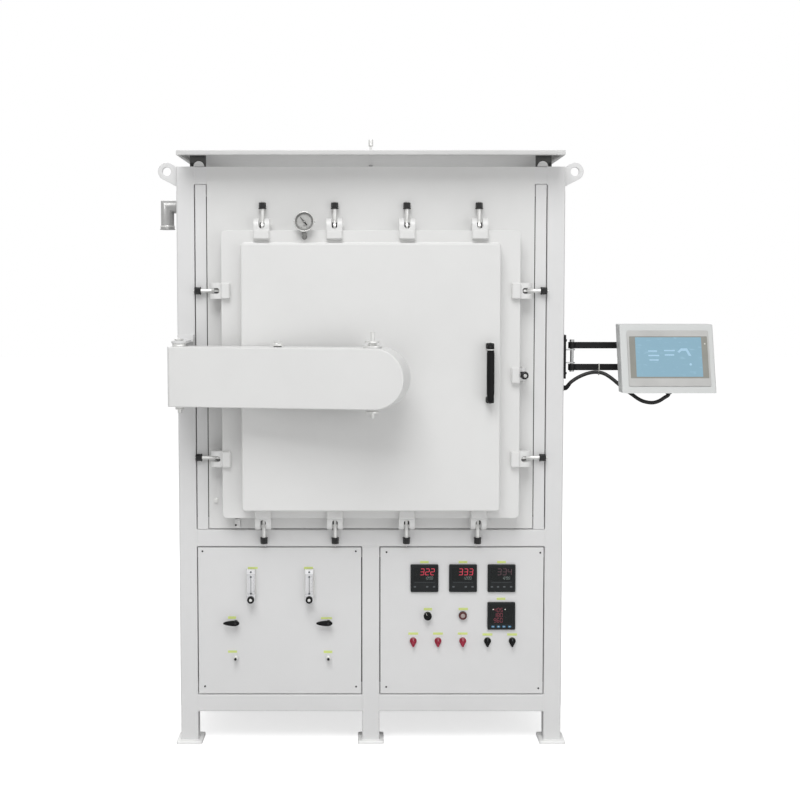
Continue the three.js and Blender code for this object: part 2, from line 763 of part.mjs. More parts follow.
function heaterPath(x) {
  const top = chamberCentreZ + hotHeight / 2 - heaterEndGap;
  const bottom = chamberCentreZ - hotHeight / 2 + heaterEndGap;
  const bend = heaterLegPitch / 2;
  const points = [];
  for (let leg = 0; leg < heaterLegs; leg += 1) {
    const y = heaterFirstY + leg * heaterLegPitch;
    const goingDown = leg % 2 === 0;
    const ends = goingDown ? [top, bottom] : [bottom, top];
    const first = leg === 0 || leg === heaterLegs - 1;
    const start = leg === 0 ? chamberCentreZ + hotHeight / 2 + terminalRun : ends[0];
    const stop = first && leg > 0 ? chamberCentreZ + hotHeight / 2 + terminalRun : ends[1];
    points.push([x, y, start], [x, y, stop]);
    if (leg === heaterLegs - 1) break;
    const up = goingDown ? -1 : 1;
    for (let step = 1; step < 4; step += 1) {
      const angle = (Math.PI * step) / 4;
      const along = bend * (1 - Math.cos(angle));
      points.push([x, y + along, ends[1] + up * bend * Math.sin(angle) * 0.6]);
    }
  }
  return points;
}

function makeLining() {
  const outer = block(
    around(0, vesselWidth - 2 * (vesselWall + liningClearance)),
    [liningFront, vesselBack - vesselWall - liningClearance],
    around(chamberCentreZ, vesselHeight - 2 * (vesselWall + liningClearance)),
  );
  const hot = block(around(0, hotWidth), [liningFront - overrun, hotBack], around(chamberCentreZ, hotHeight));
  const cutters = [hot];
  const roof = chamberCentreZ + hotHeight / 2;
  for (const x of [-1, 1].map((side) => side * (hotWidth / 2 - heaterWallGap))) {
    for (const leg of [0, heaterLegs - 1]) {
      const place = [x, heaterFirstY + leg * heaterLegPitch];
      cutters.push(rod("z", heaterRadius + 2 * seat, [roof - overrun, roof + terminalRun + seat], place, smallSides));
    }
  }
  const lined = cut(outer, cutters);
  const floor = chamberCentreZ - hotHeight / 2;
  const hearth = [-1, 0, 1].map((share) =>
    block(
      around((share * hotWidth) / 4, hotWidth / 4 - hearthSlot),
      [liningFront + liningWall, hotBack - liningWall / 2],
      [floor - overrun, floor + hearthHeight],
    ),
  );
  return join([lined, ...hearth]);
}
addPart("chamber_lining", makeLining(), "fibre");
for (const [name, side] of [["heater_left", -1], ["heater_right", 1]]) {
  const x = side * (hotWidth / 2 - heaterWallGap);
  addPart(name, mitredTube(heaterPath(x), heaterRadius, heaterSides), "heater");
}

// Door: flange with claws, raised box open at the back, and the yoke that hangs on the arm
const doorSkin = 8;
const doorSideWall = 10;
const armPivotX = armHingeX + armPivotReach * Math.cos(armSkew);
const armPivotY = armHingeY - armPivotReach * Math.sin(armSkew);
const yokeRadius = 32;
const yokeWebHalf = 26;
const yokeGap = 2;
const plugGap = 1;
const plugMouthMargin = 44;
const plugEndGap = 4;
const plugEnd = liningFront - plugEndGap;

function claw(hasFork) {
  const clawFront = doorFront - clawProud;
  const padFront = doorFront - padProud;
  const pieces = [block(around(0, clawWidth), [padFront, doorFront + overrun], [-padInside, 0])];
  if (!hasFork) return pieces[0];
  const profile = new THREE.Shape();
  profile.moveTo(doorBack, -overrun);
  profile.lineTo(clawFront, -overrun);
  profile.lineTo(clawFront, clawReach - clawNose);
  profile.absarc(clawFront + clawNose, clawReach - clawNose, clawNose, Math.PI, Math.PI / 2, true);
  profile.lineTo(doorBack, clawReach);
  pieces.push(sideProfile(profile, around(0, clawWidth), 2));
  const slotStart = clampOffset - boltRadius - 1 + slotHalfWidth;
  const through = [padFront - overrun, doorBack + overrun];
  return cut(join(pieces), [
    block(around(0, 2 * slotHalfWidth), through, [slotStart, clawReach + overrun]),
    rod("y", slotHalfWidth, through, [0, slotStart], repeatSides),
  ]);
}

function makeDoor() {
  const flange = frontPlate(
    roundedRectangle(flangeWidth, flangeHeight, flangeCorner, 0, chamberCentreZ),
    [doorFront, doorBack],
    2,
  );
  const box = frontPlate(
    roundedRectangle(doorBoxWidth, doorBoxHeight, doorBoxCorner, 0, doorBoxCentreZ),
    [doorBoxFront, doorFront + overrun],
    2,
  );
  const hollow = frontPlate(
    roundedRectangle(doorBoxWidth - 2 * doorSideWall, doorBoxHeight - 2 * doorSideWall, doorBoxCorner, 0, doorBoxCentreZ),
    [doorBoxFront + doorSkin, doorBack + overrun],
    2,
  );
  const yokeZ = [armBottom + armFlangeWall + yokeGap, armTop - armFlangeWall - yokeGap];
  const pieces = [
    cut(join([flange, box]), [hollow]),
    block(around(armPivotX, 2 * yokeWebHalf), [armPivotY, doorBoxFront + overrun / 2], yokeZ),
    rod("z", yokeRadius, yokeZ, [armPivotX, armPivotY]),
  ];
  for (const station of clamps) {
    pieces.push(atStation(claw(station.name !== facingClamp), station));
  }
  return cut(join(pieces), [
    rod("z", pivotPinRadius + 2 * seat, [yokeZ[0] - overrun, yokeZ[1] + overrun], [armPivotX, armPivotY]),
  ]);
}
addPart("door_shell", makeDoor(), "doorPaint");

function makePlug() {
  const width = doorBoxWidth - 2 * (doorSideWall + plugGap);
  const height = doorBoxHeight - 2 * (doorSideWall + plugGap);
  const mouthWidth = vesselWidth - 2 * (vesselWall + plugMouthMargin);
  const mouthHeight = vesselHeight - 2 * (vesselWall + plugMouthMargin);
  const corner = doorBoxCorner;
  return join([
    frontPlate(
      roundedRectangle(width, height, corner, 0, doorBoxCentreZ),
      [doorBoxFront + doorSkin + seat, doorBack - plugGap],
      2,
    ),
    frontPlate(
      roundedRectangle(mouthWidth, mouthHeight, corner, 0, chamberCentreZ),
      [doorBack - plugGap - overrun, plugEnd],
      2,
    ),
  ]);
}
addPart("door_plug", makePlug(), "fibre");

// Door handle: bowed grip between two feet
const handleInset = 36.5;
const handleRise = 11.5;
const handleLength = 205;
const handleX = doorBoxWidth / 2 - handleInset;
const [handleBottom, handleTop] = around(chamberCentreZ + handleRise, handleLength);
const handleRadius = 13;
const handleReach = 46;
const handleFoot = 5;
function makeHandle() {
  const footPlates = [handleBottom + handleRadius, handleTop - handleRadius];
  const base = doorBoxFront - seat;
  const bow = [];
  const steps = 8;
  for (let i = 0; i <= steps; i += 1) {
    const angle = (Math.PI * i) / steps;
    const z = (footPlates[0] + footPlates[1]) / 2 - ((footPlates[1] - footPlates[0]) / 2) * Math.cos(angle);
    const rise = handleReach * Math.sin(angle) ** 0.45;
    bow.push([handleX, base - rise, z]);
  }
  bow[0][1] = base - handleFoot / 2;
  bow[steps][1] = base - handleFoot / 2;
  const grip = mitredTube(bow, handleRadius - 2, smallSides);
  const feet = footPlates.map((z) => {
    const plate = roundedRectangle(2 * handleRadius, 2 * handleRadius, handleRadius / 2, handleX, z);
    return frontPlate(plate, [base - handleFoot, base], 1);
  });
  return join([grip, ...feet]);
}
addPart("door_handle", makeHandle(), "blackPlastic");

// Pressure gauge on its stem at the top left of the door flange
const gaugeShare = 0.91;
const gaugeRise = 28;
const gaugeX = -gaugeShare * topClampPitch;
const gaugeZ = flangeTop + gaugeRise;
const gaugeRadius = 34;
const gaugeDepth = 28;
const gaugeStandoff = 6;
const gaugeBezel = 4;
const gaugeRecess = 7;
const gaugeStemRadius = 7.5;
const gaugeElbowDrop = 50;
const needleReach = 23;
const needleTail = 8;
const needleThick = 1;
const needleWidth = 1.6;
const needleRest = 39 * (Math.PI / 180);
const gaugeBack = doorFront - gaugeStandoff;
const gaugeFront = gaugeBack - gaugeDepth;
function makeGauge() {
  const stemY = (gaugeBack + gaugeFront) / 2;
  const stem = mitredTube(
    [
      [gaugeX, doorFront - seat, gaugeZ - gaugeElbowDrop],
      [gaugeX, stemY, gaugeZ - gaugeElbowDrop],
      [gaugeX, stemY, gaugeZ - gaugeRadius / 2],
    ],
    gaugeStemRadius,
    smallSides,
  );
  const nut = hexagon("z", 2.4 * gaugeStemRadius, [gaugeZ - gaugeRadius - gaugeStandoff, gaugeZ - gaugeRadius / 2], [gaugeX, stemY]);
  const body = cut(rod("y", gaugeRadius, [gaugeFront, gaugeBack], [gaugeX, gaugeZ], fineSides), [
    rod("y", gaugeRadius - gaugeBezel, [gaugeFront - overrun, gaugeFront + gaugeRecess], [gaugeX, gaugeZ], fineSides),
  ]);
  const post = rod("y", needleWidth, [gaugeFront + gaugeRecess / 2, gaugeFront + gaugeRecess + overrun], [gaugeX, gaugeZ], 8);
  return join([body, nut, stem, post]);
}
addPart("gauge_case", makeGauge(), "stainless");

function makeNeedle() {
  const pointer = new THREE.Shape();
  pointer.moveTo(-needleWidth, -needleTail);
  pointer.lineTo(needleWidth, -needleTail);
  pointer.lineTo(needleWidth / 3, needleReach);
  pointer.lineTo(-needleWidth / 3, needleReach);
  const hubRadius = 3 * needleWidth;
  const body = join([
    frontPlate(pointer, [0, needleThick]),
    rod("y", hubRadius, [-needleThick, 2 * needleThick], [0, 0], smallSides),
  ]);
  return cut(body, [rod("y", needleWidth + seat, [0, needleThick + overrun], [0, 0], 8)]);
}
const needle = addPart("gauge_needle", makeNeedle(), "blackPlastic");
needle.position.set(gaugeX, gaugeFront + gaugeRecess / 2 - needleThick / 2, gaugeZ);
needle.rotation.y = -needleRest;

// Door arm: channel with a round end, open towards the door, on its own turned frame
const armGroup = new THREE.Group();
armGroup.position.set(armHingeX, armHingeY, 0);
armGroup.rotation.z = -armSkew;
furnace.add(armGroup);
const armRoundRadius = armHeight / 2;
const armBossShift = 10.2;
const armBossReach = armPivotReach / 2 + armBossShift;
const armBossRadius = 19;
const armBossThick = 5;
const armBossNut = 24;
const armBossNutHeight = 12;

function armOutline(wallX, wallZ) {
  const radius = armRoundRadius - wallZ;
  const shape = new THREE.Shape();
  shape.moveTo(-armLeftReach + wallX, armCentreZ - radius);
  shape.lineTo(armRoundReach, armCentreZ - radius);
  shape.absarc(armRoundReach, armCentreZ, radius, -Math.PI / 2, Math.PI / 2);
  shape.lineTo(-armLeftReach + wallX, armCentreZ + radius);
  return shape;
}

function makeArm() {
  const half = armDepth / 2;
  const body = frontPlate(armOutline(0, 0), [-half, half], 10);
  const plan = new THREE.Shape();
  plan.moveTo(-armLeftReach, half);
  plan.lineTo(-armLeftReach, -half + armBendRadius);
  plan.absarc(-armLeftReach + armBendRadius, -half + armBendRadius, armBendRadius, Math.PI, 1.5 * Math.PI);
  plan.lineTo(armRoundReach + armHeight, -half);
  plan.lineTo(armRoundReach + armHeight, half);
  const bent = common(body, flatPlate(plan, [armBottom - overrun, armTop + overrun], 2));
  const hollow = frontPlate(armOutline(armWall, armFlangeWall), [-half + armWall, half + overrun], 10);
  const openEnd = block(
    [-armLeftReach - overrun, -armLeftReach + armWall + overrun],
    [-half + armLipDepth, half + overrun],
    [armBottom + armFlangeWall, armTop - armFlangeWall],
  );
  const boss = join([
    rod("z", armBossRadius, [armTop - overrun, armTop + armBossThick], [armBossReach, 0]),
    hexagon("z", armBossNut, [armTop, armTop + armBossThick + armBossNutHeight], [armBossReach, 0]),
  ]);
  return cut(join([cut(bent, [hollow, openEnd]), boss]), [
    rod("z", hingePinRadius + 2 * seat, [armBottom - overrun, armTop + overrun], [0, 0], roundSides),
    rod("z", pivotPinRadius + 2 * seat, [armBottom - overrun, armTop + overrun], [armPivotReach, 0], roundSides),
  ]);
}
addPart("door_arm", makeArm(), "doorPaint", armGroup);

// Pivot pin that carries the door in the arm, with its washers, nuts and end studs
const pivotWasherRadius = 31;
const pivotWasherThick = 7;
const pivotNutRadius = 15;
const pivotNutHeight = 8;
const pivotCapRadius = 24;
const pivotStudRadius = 6.5;
const pivotStudTop = 30;
const pivotStudBottom = 16;
const pivotLowerWasher = 21.5;
function makePivotPin() {
  const under = armBottom - seat;
  const over = armTop + seat;
  const stack = [
    [0, under - pivotNutHeight - pivotWasherThick - pivotStudBottom],
    [pivotStudRadius, under - pivotNutHeight - pivotWasherThick - pivotStudBottom],
    [pivotStudRadius, under - pivotNutHeight - pivotWasherThick],
    [pivotLowerWasher, under - pivotNutHeight - pivotWasherThick],
    [pivotLowerWasher, under - pivotNutHeight],
    [pivotNutRadius, under - pivotNutHeight],
    [pivotNutRadius, under],
    [pivotPinRadius, under],
    [pivotPinRadius, over],
    [pivotWasherRadius, over],
    [pivotWasherRadius, over + pivotWasherThick],
    [pivotNutRadius, over + pivotWasherThick],
    [pivotNutRadius, over + pivotWasherThick + pivotNutHeight],
    [pivotCapRadius, over + pivotWasherThick + pivotNutHeight],
    [pivotCapRadius, over + 2 * pivotWasherThick + pivotNutHeight],
    [pivotStudRadius, over + 2 * pivotWasherThick + pivotNutHeight],
    [pivotStudRadius, over + 2 * pivotWasherThick + pivotNutHeight + pivotStudTop],
    [0, over + 2 * pivotWasherThick + pivotNutHeight + pivotStudTop],
  ];
  return turned(stack, [armPivotReach, 0]);
}
addPart("door_pivot_pin", makePivotPin(), "zinc", armGroup);

// Swing bolts: eye at the clevis pin, rod, flanged nut and tip, built pointing up
function makeSwingBolt() {
  const rodLength = [boltEyeRadius / 2, boltTip];
  const eye = rod("x", boltEyeRadius, around(0, boltEyeThick), [0, 0], repeatSides);
  const pieces = [
    eye,
    rod("z", boltRadius, rodLength, [0, 0], repeatSmallSides),
    rod("z", nutFlangeRadius, [nutStart, nutStart + nutFlangeThick], [0, 0], repeatSides),
    hexagon("z", nutAcrossFlats, [nutStart + nutFlangeThick / 2, nutStart + nutLength], [0, 0]),
  ];
  const through = around(0, boltEyeThick + 2 * overrun);
  const hole = rod("x", boltPinRadius + 2 * seat, through, [0, 0], repeatSmallSides);
  return cut(join(pieces), [hole]);
}
const swingBolt = makeSwingBolt();
for (const { name, turn, along, edge } of clamps) {
  const station = new THREE.Group();
  station.position.z = chamberCentreZ;
  station.rotation.y = turn;
  furnace.add(station);
  const bolt = addPart(`swing_bolt_${name}`, swingBolt, "zinc", station);
  bolt.position.set(along, clampPivotY, edge + clampOffset);
  bolt.rotation.x = name === facingClamp ? quarter : 0;
}

// Lower front panels with their instruments
const panelFront = frontFace;
const panelCorner = 2;
const lowerPanelHeight = midBeamBottom - bottomBeamTop - 2 * seamGap;
const lowerPanelZ = (midBeamBottom + bottomBeamTop) / 2;
const lowerPanelWidth = openingHalfWidth - tube / 2 - 2 * seamGap;
const lowerPanelX = (openingHalfWidth + tube / 2) / 2;

function lowerPanel(side) {
  return foldedPanel(
    lowerPanelWidth,
    lowerPanelHeight,
    side * lowerPanelX,
    lowerPanelZ,
    panelFront,
    panelReturn,
    panelCorner,
  );
}
const throughPanel = [panelFront - overrun, panelFront + panelReturn];

// Places on a lower panel, as shares of its width and height from its middle
const panelAcross = (side, share) => side * lowerPanelX + share * lowerPanelWidth;
const panelUp = (share) => lowerPanelZ + share * lowerPanelHeight;
const panelPlace = (side, [acrossShare, upShare]) => [panelAcross(side, acrossShare), panelUp(upShare)];

// Gas panel: two flowmeters with needle-valve knobs, two ball valves, two ports
const flowmeterShares = [-0.173, 0.183];
const flowmeterUpShare = 0.244;
const flowmeterX = flowmeterShares.map((share) => panelAcross(-1, share));
const flowmeterHeight = 114;
const flowmeterZ = around(panelUp(flowmeterUpShare), flowmeterHeight);
const flowmeterWidth = 28;
const flowmeterDepth = 27;
const flowKnobRise = 13;
const flowKnobZ = flowmeterZ[0] + flowKnobRise;
const flowKnobRadius = 12;
const flowKnobLength = 19;
const flowStemRadius = 4;
const flowStemBite = 8;
const valveShares = [-0.27, 0.299];
const valveUpShare = -0.007;
const valveX = valveShares.map((share) => panelAcross(-1, share));
const valveZ = panelUp(valveUpShare);
const valveStemRadius = 6;
const valveHubRadius = 13;
const valveHandleReach = 34;
const valveHandleHalf = 8;
const valveHandleThick = 9;
const valveStandoff = 20;
const valveBodySize = 34;
const portUpShare = -0.25;
const portZ = panelUp(portUpShare);
const portNutFlats = 22;
const portNutLength = 12;
const portTubeRadius = 6;
const portTubeLength = 20;

function makeGasPanel() {
  const pieces = [lowerPanel(-1)];
  for (const x of valveX) {
    const nutY = [panelFront - portNutLength, panelFront + sheet / 2];
    pieces.push(hexagon("y", portNutFlats, nutY, [x, portZ]));
    pieces.push(rod("y", portTubeRadius, [nutY[0] - portTubeLength, nutY[0] + overrun], [x, portZ], smallSides));
    pieces.push(block(around(x, valveBodySize), [panelFront + sheet / 2, panelFront + valveBodySize], around(valveZ, valveBodySize)));
  }
  const holes = [];
  for (const x of valveX) {
    const depth = [panelFront - overrun, panelFront + valveBodySize / 2];
    holes.push(rod("y", valveStemRadius + seat, depth, [x, valveZ], roundSides));
  }
  return cut(join(pieces), holes);
}
addPart("gas_panel", makeGasPanel(), "whitePaint");

["left", "right"].forEach((name, i) => {
  const x = flowmeterX[i];
  const back = panelFront - seat;
  const front = back - flowmeterDepth;
  const body = cut(block(around(x, flowmeterWidth), [front, back], flowmeterZ), [
    rod("y", flowStemRadius + seat, [front - overrun, front + flowStemBite + seat], [x, flowKnobZ], roundSides),
  ]);
  addPart(`flowmeter_${name}`, body, "acrylic");
  const knobFront = front - seat - flowKnobLength;
  const knob = join([
    rod("y", flowKnobRadius, [knobFront, front - seat], [x, flowKnobZ]),
    rod("y", flowStemRadius, [knobFront + overrun, front + flowStemBite], [x, flowKnobZ], smallSides),
  ]);
  addPart(`flow_knob_${name}`, knob, "blackPlastic");
  const valve = valveX[i];
  const handleBack = panelFront - valveStandoff;
  const handleY = [handleBack - valveHandleThick, handleBack];
  const handleShape = new THREE.Shape();
  handleShape.moveTo(valve, valveZ + valveHandleHalf);
  handleShape.lineTo(valve - valveHandleReach + valveHandleHalf, valveZ + valveHandleHalf);
  handleShape.absarc(valve - valveHandleReach + valveHandleHalf, valveZ, valveHandleHalf, quarter, 3 * quarter);
  handleShape.lineTo(valve, valveZ - valveHandleHalf);
  const stemEnd = panelFront + valveBodySize / 2 - seat;
  const lever = join([
    frontPlate(handleShape, handleY, 4),
    rod("y", valveHubRadius, [handleY[0], handleY[1] + valveHandleThick / 2], [valve, valveZ]),
    rod("y", valveStemRadius, [handleY[0] + overrun, stemEnd], [valve, valveZ], smallSides),
  ]);
  addPart(`valve_lever_${name}`, lever, "blackPlastic");
});

// Control panel: four panel meters, a rotary knob, a push button and five selectors
const meterSize = 96;
const meterBezel = 8;
const meterBodySize = 91;
const meterBodyDepth = 66;
const meterShares = [
  [-0.23, 0.293],
  [0.006, 0.293],
  [0.242, 0.293],
  [0.242, 0.036],
];
const meterPlaces = meterShares.map((shares) => panelPlace(1, shares));
const operatorHole = 11.6;
const operatorShaft = 10.4;
const operatorCollar = 14.5;
const operatorCollarThick = 3;
const operatorShaftLength = 30;
const selectorPitchShare = 0.152;
const selectorShares = [0.006, -0.135];
const selectorRadius = 12;
const selectorTip = 19.5;
const selectorThick = 15;
const rotaryShares = [-0.21, 0.038];
const rotaryPlace = panelPlace(1, rotaryShares);
const rotaryRadius = 14;
const rotaryLength = 20;
const buttonShares = [0.006, 0.038];
const buttonPlace = panelPlace(1, buttonShares);
const buttonRadius = 11;
const buttonProud = 9;
const selectorPlaces = [-2, -1, 0, 1, 2].map((step) => {
  return panelPlace(1, [selectorShares[0] + step * selectorPitchShare, selectorShares[1]]);
});

function makeControlPanel() {
  const operators = [...selectorPlaces, rotaryPlace, buttonPlace];
  const pieces = [lowerPanel(1)];
  for (const place of operators) {
    const collar = [panelFront - operatorCollarThick, panelFront + sheet / 2];
    pieces.push(rod("y", operatorCollar, collar, place, repeatSides));
  }
  const holes = operators.map((place) => rod("y", operatorHole, throughPanel, place, repeatSides));
  for (const [x, z] of meterPlaces) {
    holes.push(block(around(x, meterBodySize + 1), throughPanel, around(z, meterBodySize + 1)));
  }
  return cut(join(pieces), holes);
}
addPart("control_panel", makeControlPanel(), "whitePaint");

meterPlaces.forEach(([x, z], i) => {
  const bezelY = [panelFront - seat - meterBezel, panelFront - seat];
  const meter = join([
    frontPlate(roundedRectangle(meterSize, meterSize, meterBezel / 2, x, z), bezelY, 1),
    block(around(x, meterBodySize), [bezelY[1] - meterBezel / 2, panelFront + meterBodyDepth], around(z, meterBodySize)),
  ]);
  addPart(`panel_meter_${i + 1}`, meter, "greyPlastic");
});

// Body of an operator: a front shape on a shaft through the panel
function operatorPiece(frontShape, [x, z], collarGap) {
  const shaftY = [panelFront - operatorCollarThick - collarGap - overrun / 2, panelFront + operatorShaftLength];
  return join([frontShape, rod("y", operatorShaft, shaftY, [x, z], repeatSides)]);
}

const collarFace = panelFront - operatorCollarThick;
const rotaryShape = rod("y", rotaryRadius, [collarFace - seat - rotaryLength, collarFace - seat], rotaryPlace, fineSides);
addPart("rotary_knob", operatorPiece(rotaryShape, rotaryPlace, 2 * seat), "blackPlastic");

selectorPlaces.forEach(([x, z], i) => {
  const shape = new THREE.Shape();
  const spread = Math.acos(selectorRadius / (selectorTip + overrun));
  shape.absarc(x, z, selectorRadius, -quarter + spread, 3 * quarter - spread);
  shape.lineTo(x - selectorRadius / 4, z - selectorTip);
  shape.lineTo(x + selectorRadius / 4, z - selectorTip);
  const handle = frontPlate(shape, [collarFace - seat - selectorThick, collarFace - seat], 6);
  const finish = i === 2 ? "darkRed" : "blackPlastic";
  addPart(`selector_${i + 1}`, operatorPiece(handle, [x, z], 2 * seat), finish);
});

const buttonShape = rod("y", buttonRadius - seat, [collarFace - buttonProud, panelFront], buttonPlace, roundSides);
addPart("push_button", operatorPiece(buttonShape, buttonPlace, 0), "darkRed");

// Terminal bracket: wall plate, two short lugs and the vertical pivot pin
const wallPlateThick = 6;
const wallPlateHalf = 30;
const barHeight = 22;
const barThick = 10;
const barDrop = 160;
const barSpacing = 75;
const lowerBarZ = terminalTopZ - barDrop;
const upperBarZ = lowerBarZ + barSpacing;
const wallPlateBelow = 28;
const wallPlateAbove = 47;
const wallPlateZ = [lowerBarZ - wallPlateBelow, upperBarZ + wallPlateAbove];
const barStart = 13;
const pivotRadius = 6;
const pivotHeadRadius = 7;
const pivotHeadLength = 9;
const bracketLugThick = 8;
const bracketLugHalf = 11;
const postRadius = 8;
const barEnd = 14;
const cabinetSide = frameWidth / 2 + seat + sheet;

function makeWallBracket() {
  const pivot = [terminalArmX, terminalArmY];
  const plate = block(
    [cabinetSide + seat, cabinetSide + seat + wallPlateThick],
    around(terminalArmY, 2 * wallPlateHalf),
    wallPlateZ,
  );
  const lugs = [lowerBarZ + barHeight + seat, upperBarZ - seat - bracketLugThick].map((bottom) => {
    const outline = new THREE.Shape();
    outline.moveTo(cabinetSide + wallPlateThick / 2, pivot[1] + bracketLugHalf);
    outline.lineTo(cabinetSide + wallPlateThick / 2, pivot[1] - bracketLugHalf);
    outline.lineTo(pivot[0], pivot[1] - bracketLugHalf);
    outline.absarc(pivot[0], pivot[1], bracketLugHalf, -quarter, quarter);
    return flatPlate(outline, [bottom, bottom + bracketLugThick], 4);
  });
  const pinZ = [lowerBarZ - seat, upperBarZ + barHeight + seat];
  return join([
    plate,
    ...lugs,
    rod("z", pivotRadius, [pinZ[0] - pivotHeadLength / 2, pinZ[1] + pivotHeadLength / 2], pivot),
    rod("z", pivotHeadRadius + 1, [pinZ[0] - pivotHeadLength / 2, pinZ[0]], pivot),
    hexagon("z", 2 * pivotHeadRadius, [pinZ[1], pinZ[1] + pivotHeadLength], pivot),
  ]);
}
addPart("terminal_wall_bracket", makeWallBracket(), "stainless");

// Terminal arm: two flat bars joined by the post that carries the terminal
function makeTerminalArm() {
  const pieces = [];
  for (const bottom of [lowerBarZ, upperBarZ]) {
    pieces.push(
      block(
        [terminalArmX - barStart, terminalCentreX + barEnd],
        around(terminalArmY, barThick),
        [bottom, bottom + barHeight],
      ),
    );
    pieces.push(rod("z", barStart, [bottom, bottom + barHeight], [terminalArmX, terminalArmY]));
  }
  pieces.push(rod("z", postRadius, [lowerBarZ + barHeight / 2, upperBarZ + barHeight / 2], [terminalCentreX, terminalArmY]));
  const hole = rod("z", pivotRadius + seat, [lowerBarZ - overrun, upperBarZ + barHeight + overrun], [terminalArmX, terminalArmY], fineSides);
  return cut(join(pieces), [hole]);
}
addPart("terminal_arm", makeTerminalArm(), "blackOxide");

// Yoke: sleeve round the post, and a fork that holds the tilt pin behind the terminal
const sleeveRadius = 16;
const sleeveGap = 1;
const tiltOut = 50;
const tiltY = terminalArmY - tiltOut;
const tiltPinRadius = 6;
const tiltBlockHalf = 16;
const tiltPinHalf = 34;
const yokeBarHalf = 11;
const tiltZ = (lowerBarZ + upperBarZ + barHeight) / 2;
function makeTerminalYoke() {
  const sleeveZ = [lowerBarZ + barHeight + sleeveGap, upperBarZ - sleeveGap];
  const sleeve = rod("z", sleeveRadius, sleeveZ, [terminalCentreX, terminalArmY]);
  const link = block(around(terminalCentreX, 2 * tiltBlockHalf), [tiltY, terminalArmY - postRadius], around(tiltZ, 2 * yokeBarHalf));
  const knuckle = rod("x", yokeBarHalf, around(terminalCentreX, 2 * tiltBlockHalf), [tiltY, tiltZ]);
  const pin = rod("x", tiltPinRadius, around(terminalCentreX, 2 * tiltPinHalf), [tiltY, tiltZ]);
  const bore = rod("z", postRadius + seat, [sleeveZ[0] - overrun, sleeveZ[1] + overrun], [terminalCentreX, terminalArmY], fineSides);
  return cut(join([sleeve, link, knuckle, pin]), [bore]);
}
addPart("terminal_yoke", makeTerminalYoke(), "blackOxide");

// Terminal housing with its two tilt ears, and the screen bezel on the sloping face
const terminalBottomZ = terminalTopZ - terminalRise;
const terminalSetback = terminalRise * Math.tan(terminalSlope);
const bezelWidth = 266;
const bezelHeight = 184;
const bezelDrop = 24;
const bezelThick = 3;
const bezelCorner = 6;
const earWidth = 12;
function makeTerminal() {
  const outline = polygon([
    [terminalTopFrontY, terminalTopZ],
    [terminalTopFrontY - terminalSetback, terminalBottomZ],
    [terminalTopFrontY - terminalSetback + terminalDepth, terminalBottomZ],
    [terminalTopFrontY + terminalDepth, terminalTopZ],
  ]);
  const box = sideProfile(outline, around(terminalCentreX, terminalWidth));
  const pieces = [box];
  const tiltRadius = tiltPinRadius + 2 * earWidth / 3;
  for (const side of [-1, 1]) {
    const inner = terminalCentreX + side * (tiltBlockHalf + 1);
    const span = [inner, inner + side * earWidth].sort((a, b) => a - b);
    pieces.push(rod("x", tiltRadius, span, [tiltY, tiltZ]));
    pieces.push(block(span, [tiltY - terminalDepth / 2, tiltY], around(tiltZ, 2 * tiltRadius)));
  }
  const hole = rod("x", tiltPinRadius + seat, around(terminalCentreX, 2 * tiltPinHalf + overrun), [tiltY, tiltZ], fineSides);
  return cut(join(pieces), [hole]);
}
addPart("terminal_housing", makeTerminal(), "whitePaint");

const bezelMesh = addPart(
  "terminal_screen",
  frontPlate(
    roundedRectangle(bezelWidth, bezelHeight, bezelCorner, 0, -bezelDrop - bezelHeight / 2),
    [-bezelThick - seat, -seat],
    3,
  ),
  "silverBezel",
);
bezelMesh.position.set(terminalCentreX, terminalTopFrontY, terminalTopZ);
bezelMesh.rotation.x = -terminalSlope;

// Cable from the cabinet side, tied under the lower bar, looping up into the terminal
const cableRadius = 6.3;
const cableSides = 8;
const cableEndAside = 5;
const cableEndFront = 41.5;
const cableStart = [cabinetSide + glandProud + seat, terminalArmY, cableEntryZ];
const cableEnd = [
  terminalCentreX + cableEndAside,
  terminalTopFrontY - cableEndFront,
  terminalTopZ - terminalRise - seat,
];
// Places along the cable: shares of the way across and forwards, and the rise above the entry
const cableAcrossShares = [
  0.012, 0.035, 0.062, 0.152, 0.251, 0.328, 0.398, 0.465, 0.531,
  0.594, 0.663, 0.706, 0.761, 0.845, 0.906, 0.962, 0.991, 1,
];
const cableForwardShares = [
  0, 0, 0, 0.007, 0, 0, 0.061, 0.143, 0.28,
  0.471, 0.648, 0.744, 0.826, 0.908, 0.949, 0.983, 0.997, 1,
];
const cableRises = [
  0, 7, 18.5, 38.6, 51, 54.2, 51.2, 38.9, 20.8,
  3, -13.4, -23.8, -32.3, -35.3, -29, -16.3, -9.7, -4.7,
];
const cableRoute = [
  cableStart,
  ...cableRises.map((rise, i) => [
    cableStart[0] + cableAcrossShares[i] * (cableEnd[0] - cableStart[0]),
    cableStart[1] + cableForwardShares[i] * (cableEnd[1] - cableStart[1]),
    cableStart[2] + rise + cableForwardShares[i] * (cableEnd[2] - cableStart[2]),
  ]),
  cableEnd,
];
function makeCable() {
  const curve = new THREE.CatmullRomCurve3(cableRoute.map((place) => new THREE.Vector3(...place)));
  const section = new THREE.Shape();
  section.absarc(0, 0, cableRadius, 0, 2 * Math.PI);
  return new THREE.ExtrudeGeometry(section, {
    steps: 3 * cableSides,
    extrudePath: curve,
    curveSegments: cableSides / 2,
    bevelEnabled: false,
  });
}
addPart("terminal_cable", makeCable(), "rubber");

export default furnace;
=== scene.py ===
"""Looks of the vacuum atmosphere furnace: every piece over its fixed frame."""

import math

import bmesh
import bpy
from bpy.props import FloatProperty, FloatVectorProperty, PointerProperty
from mathutils import Matrix, Vector


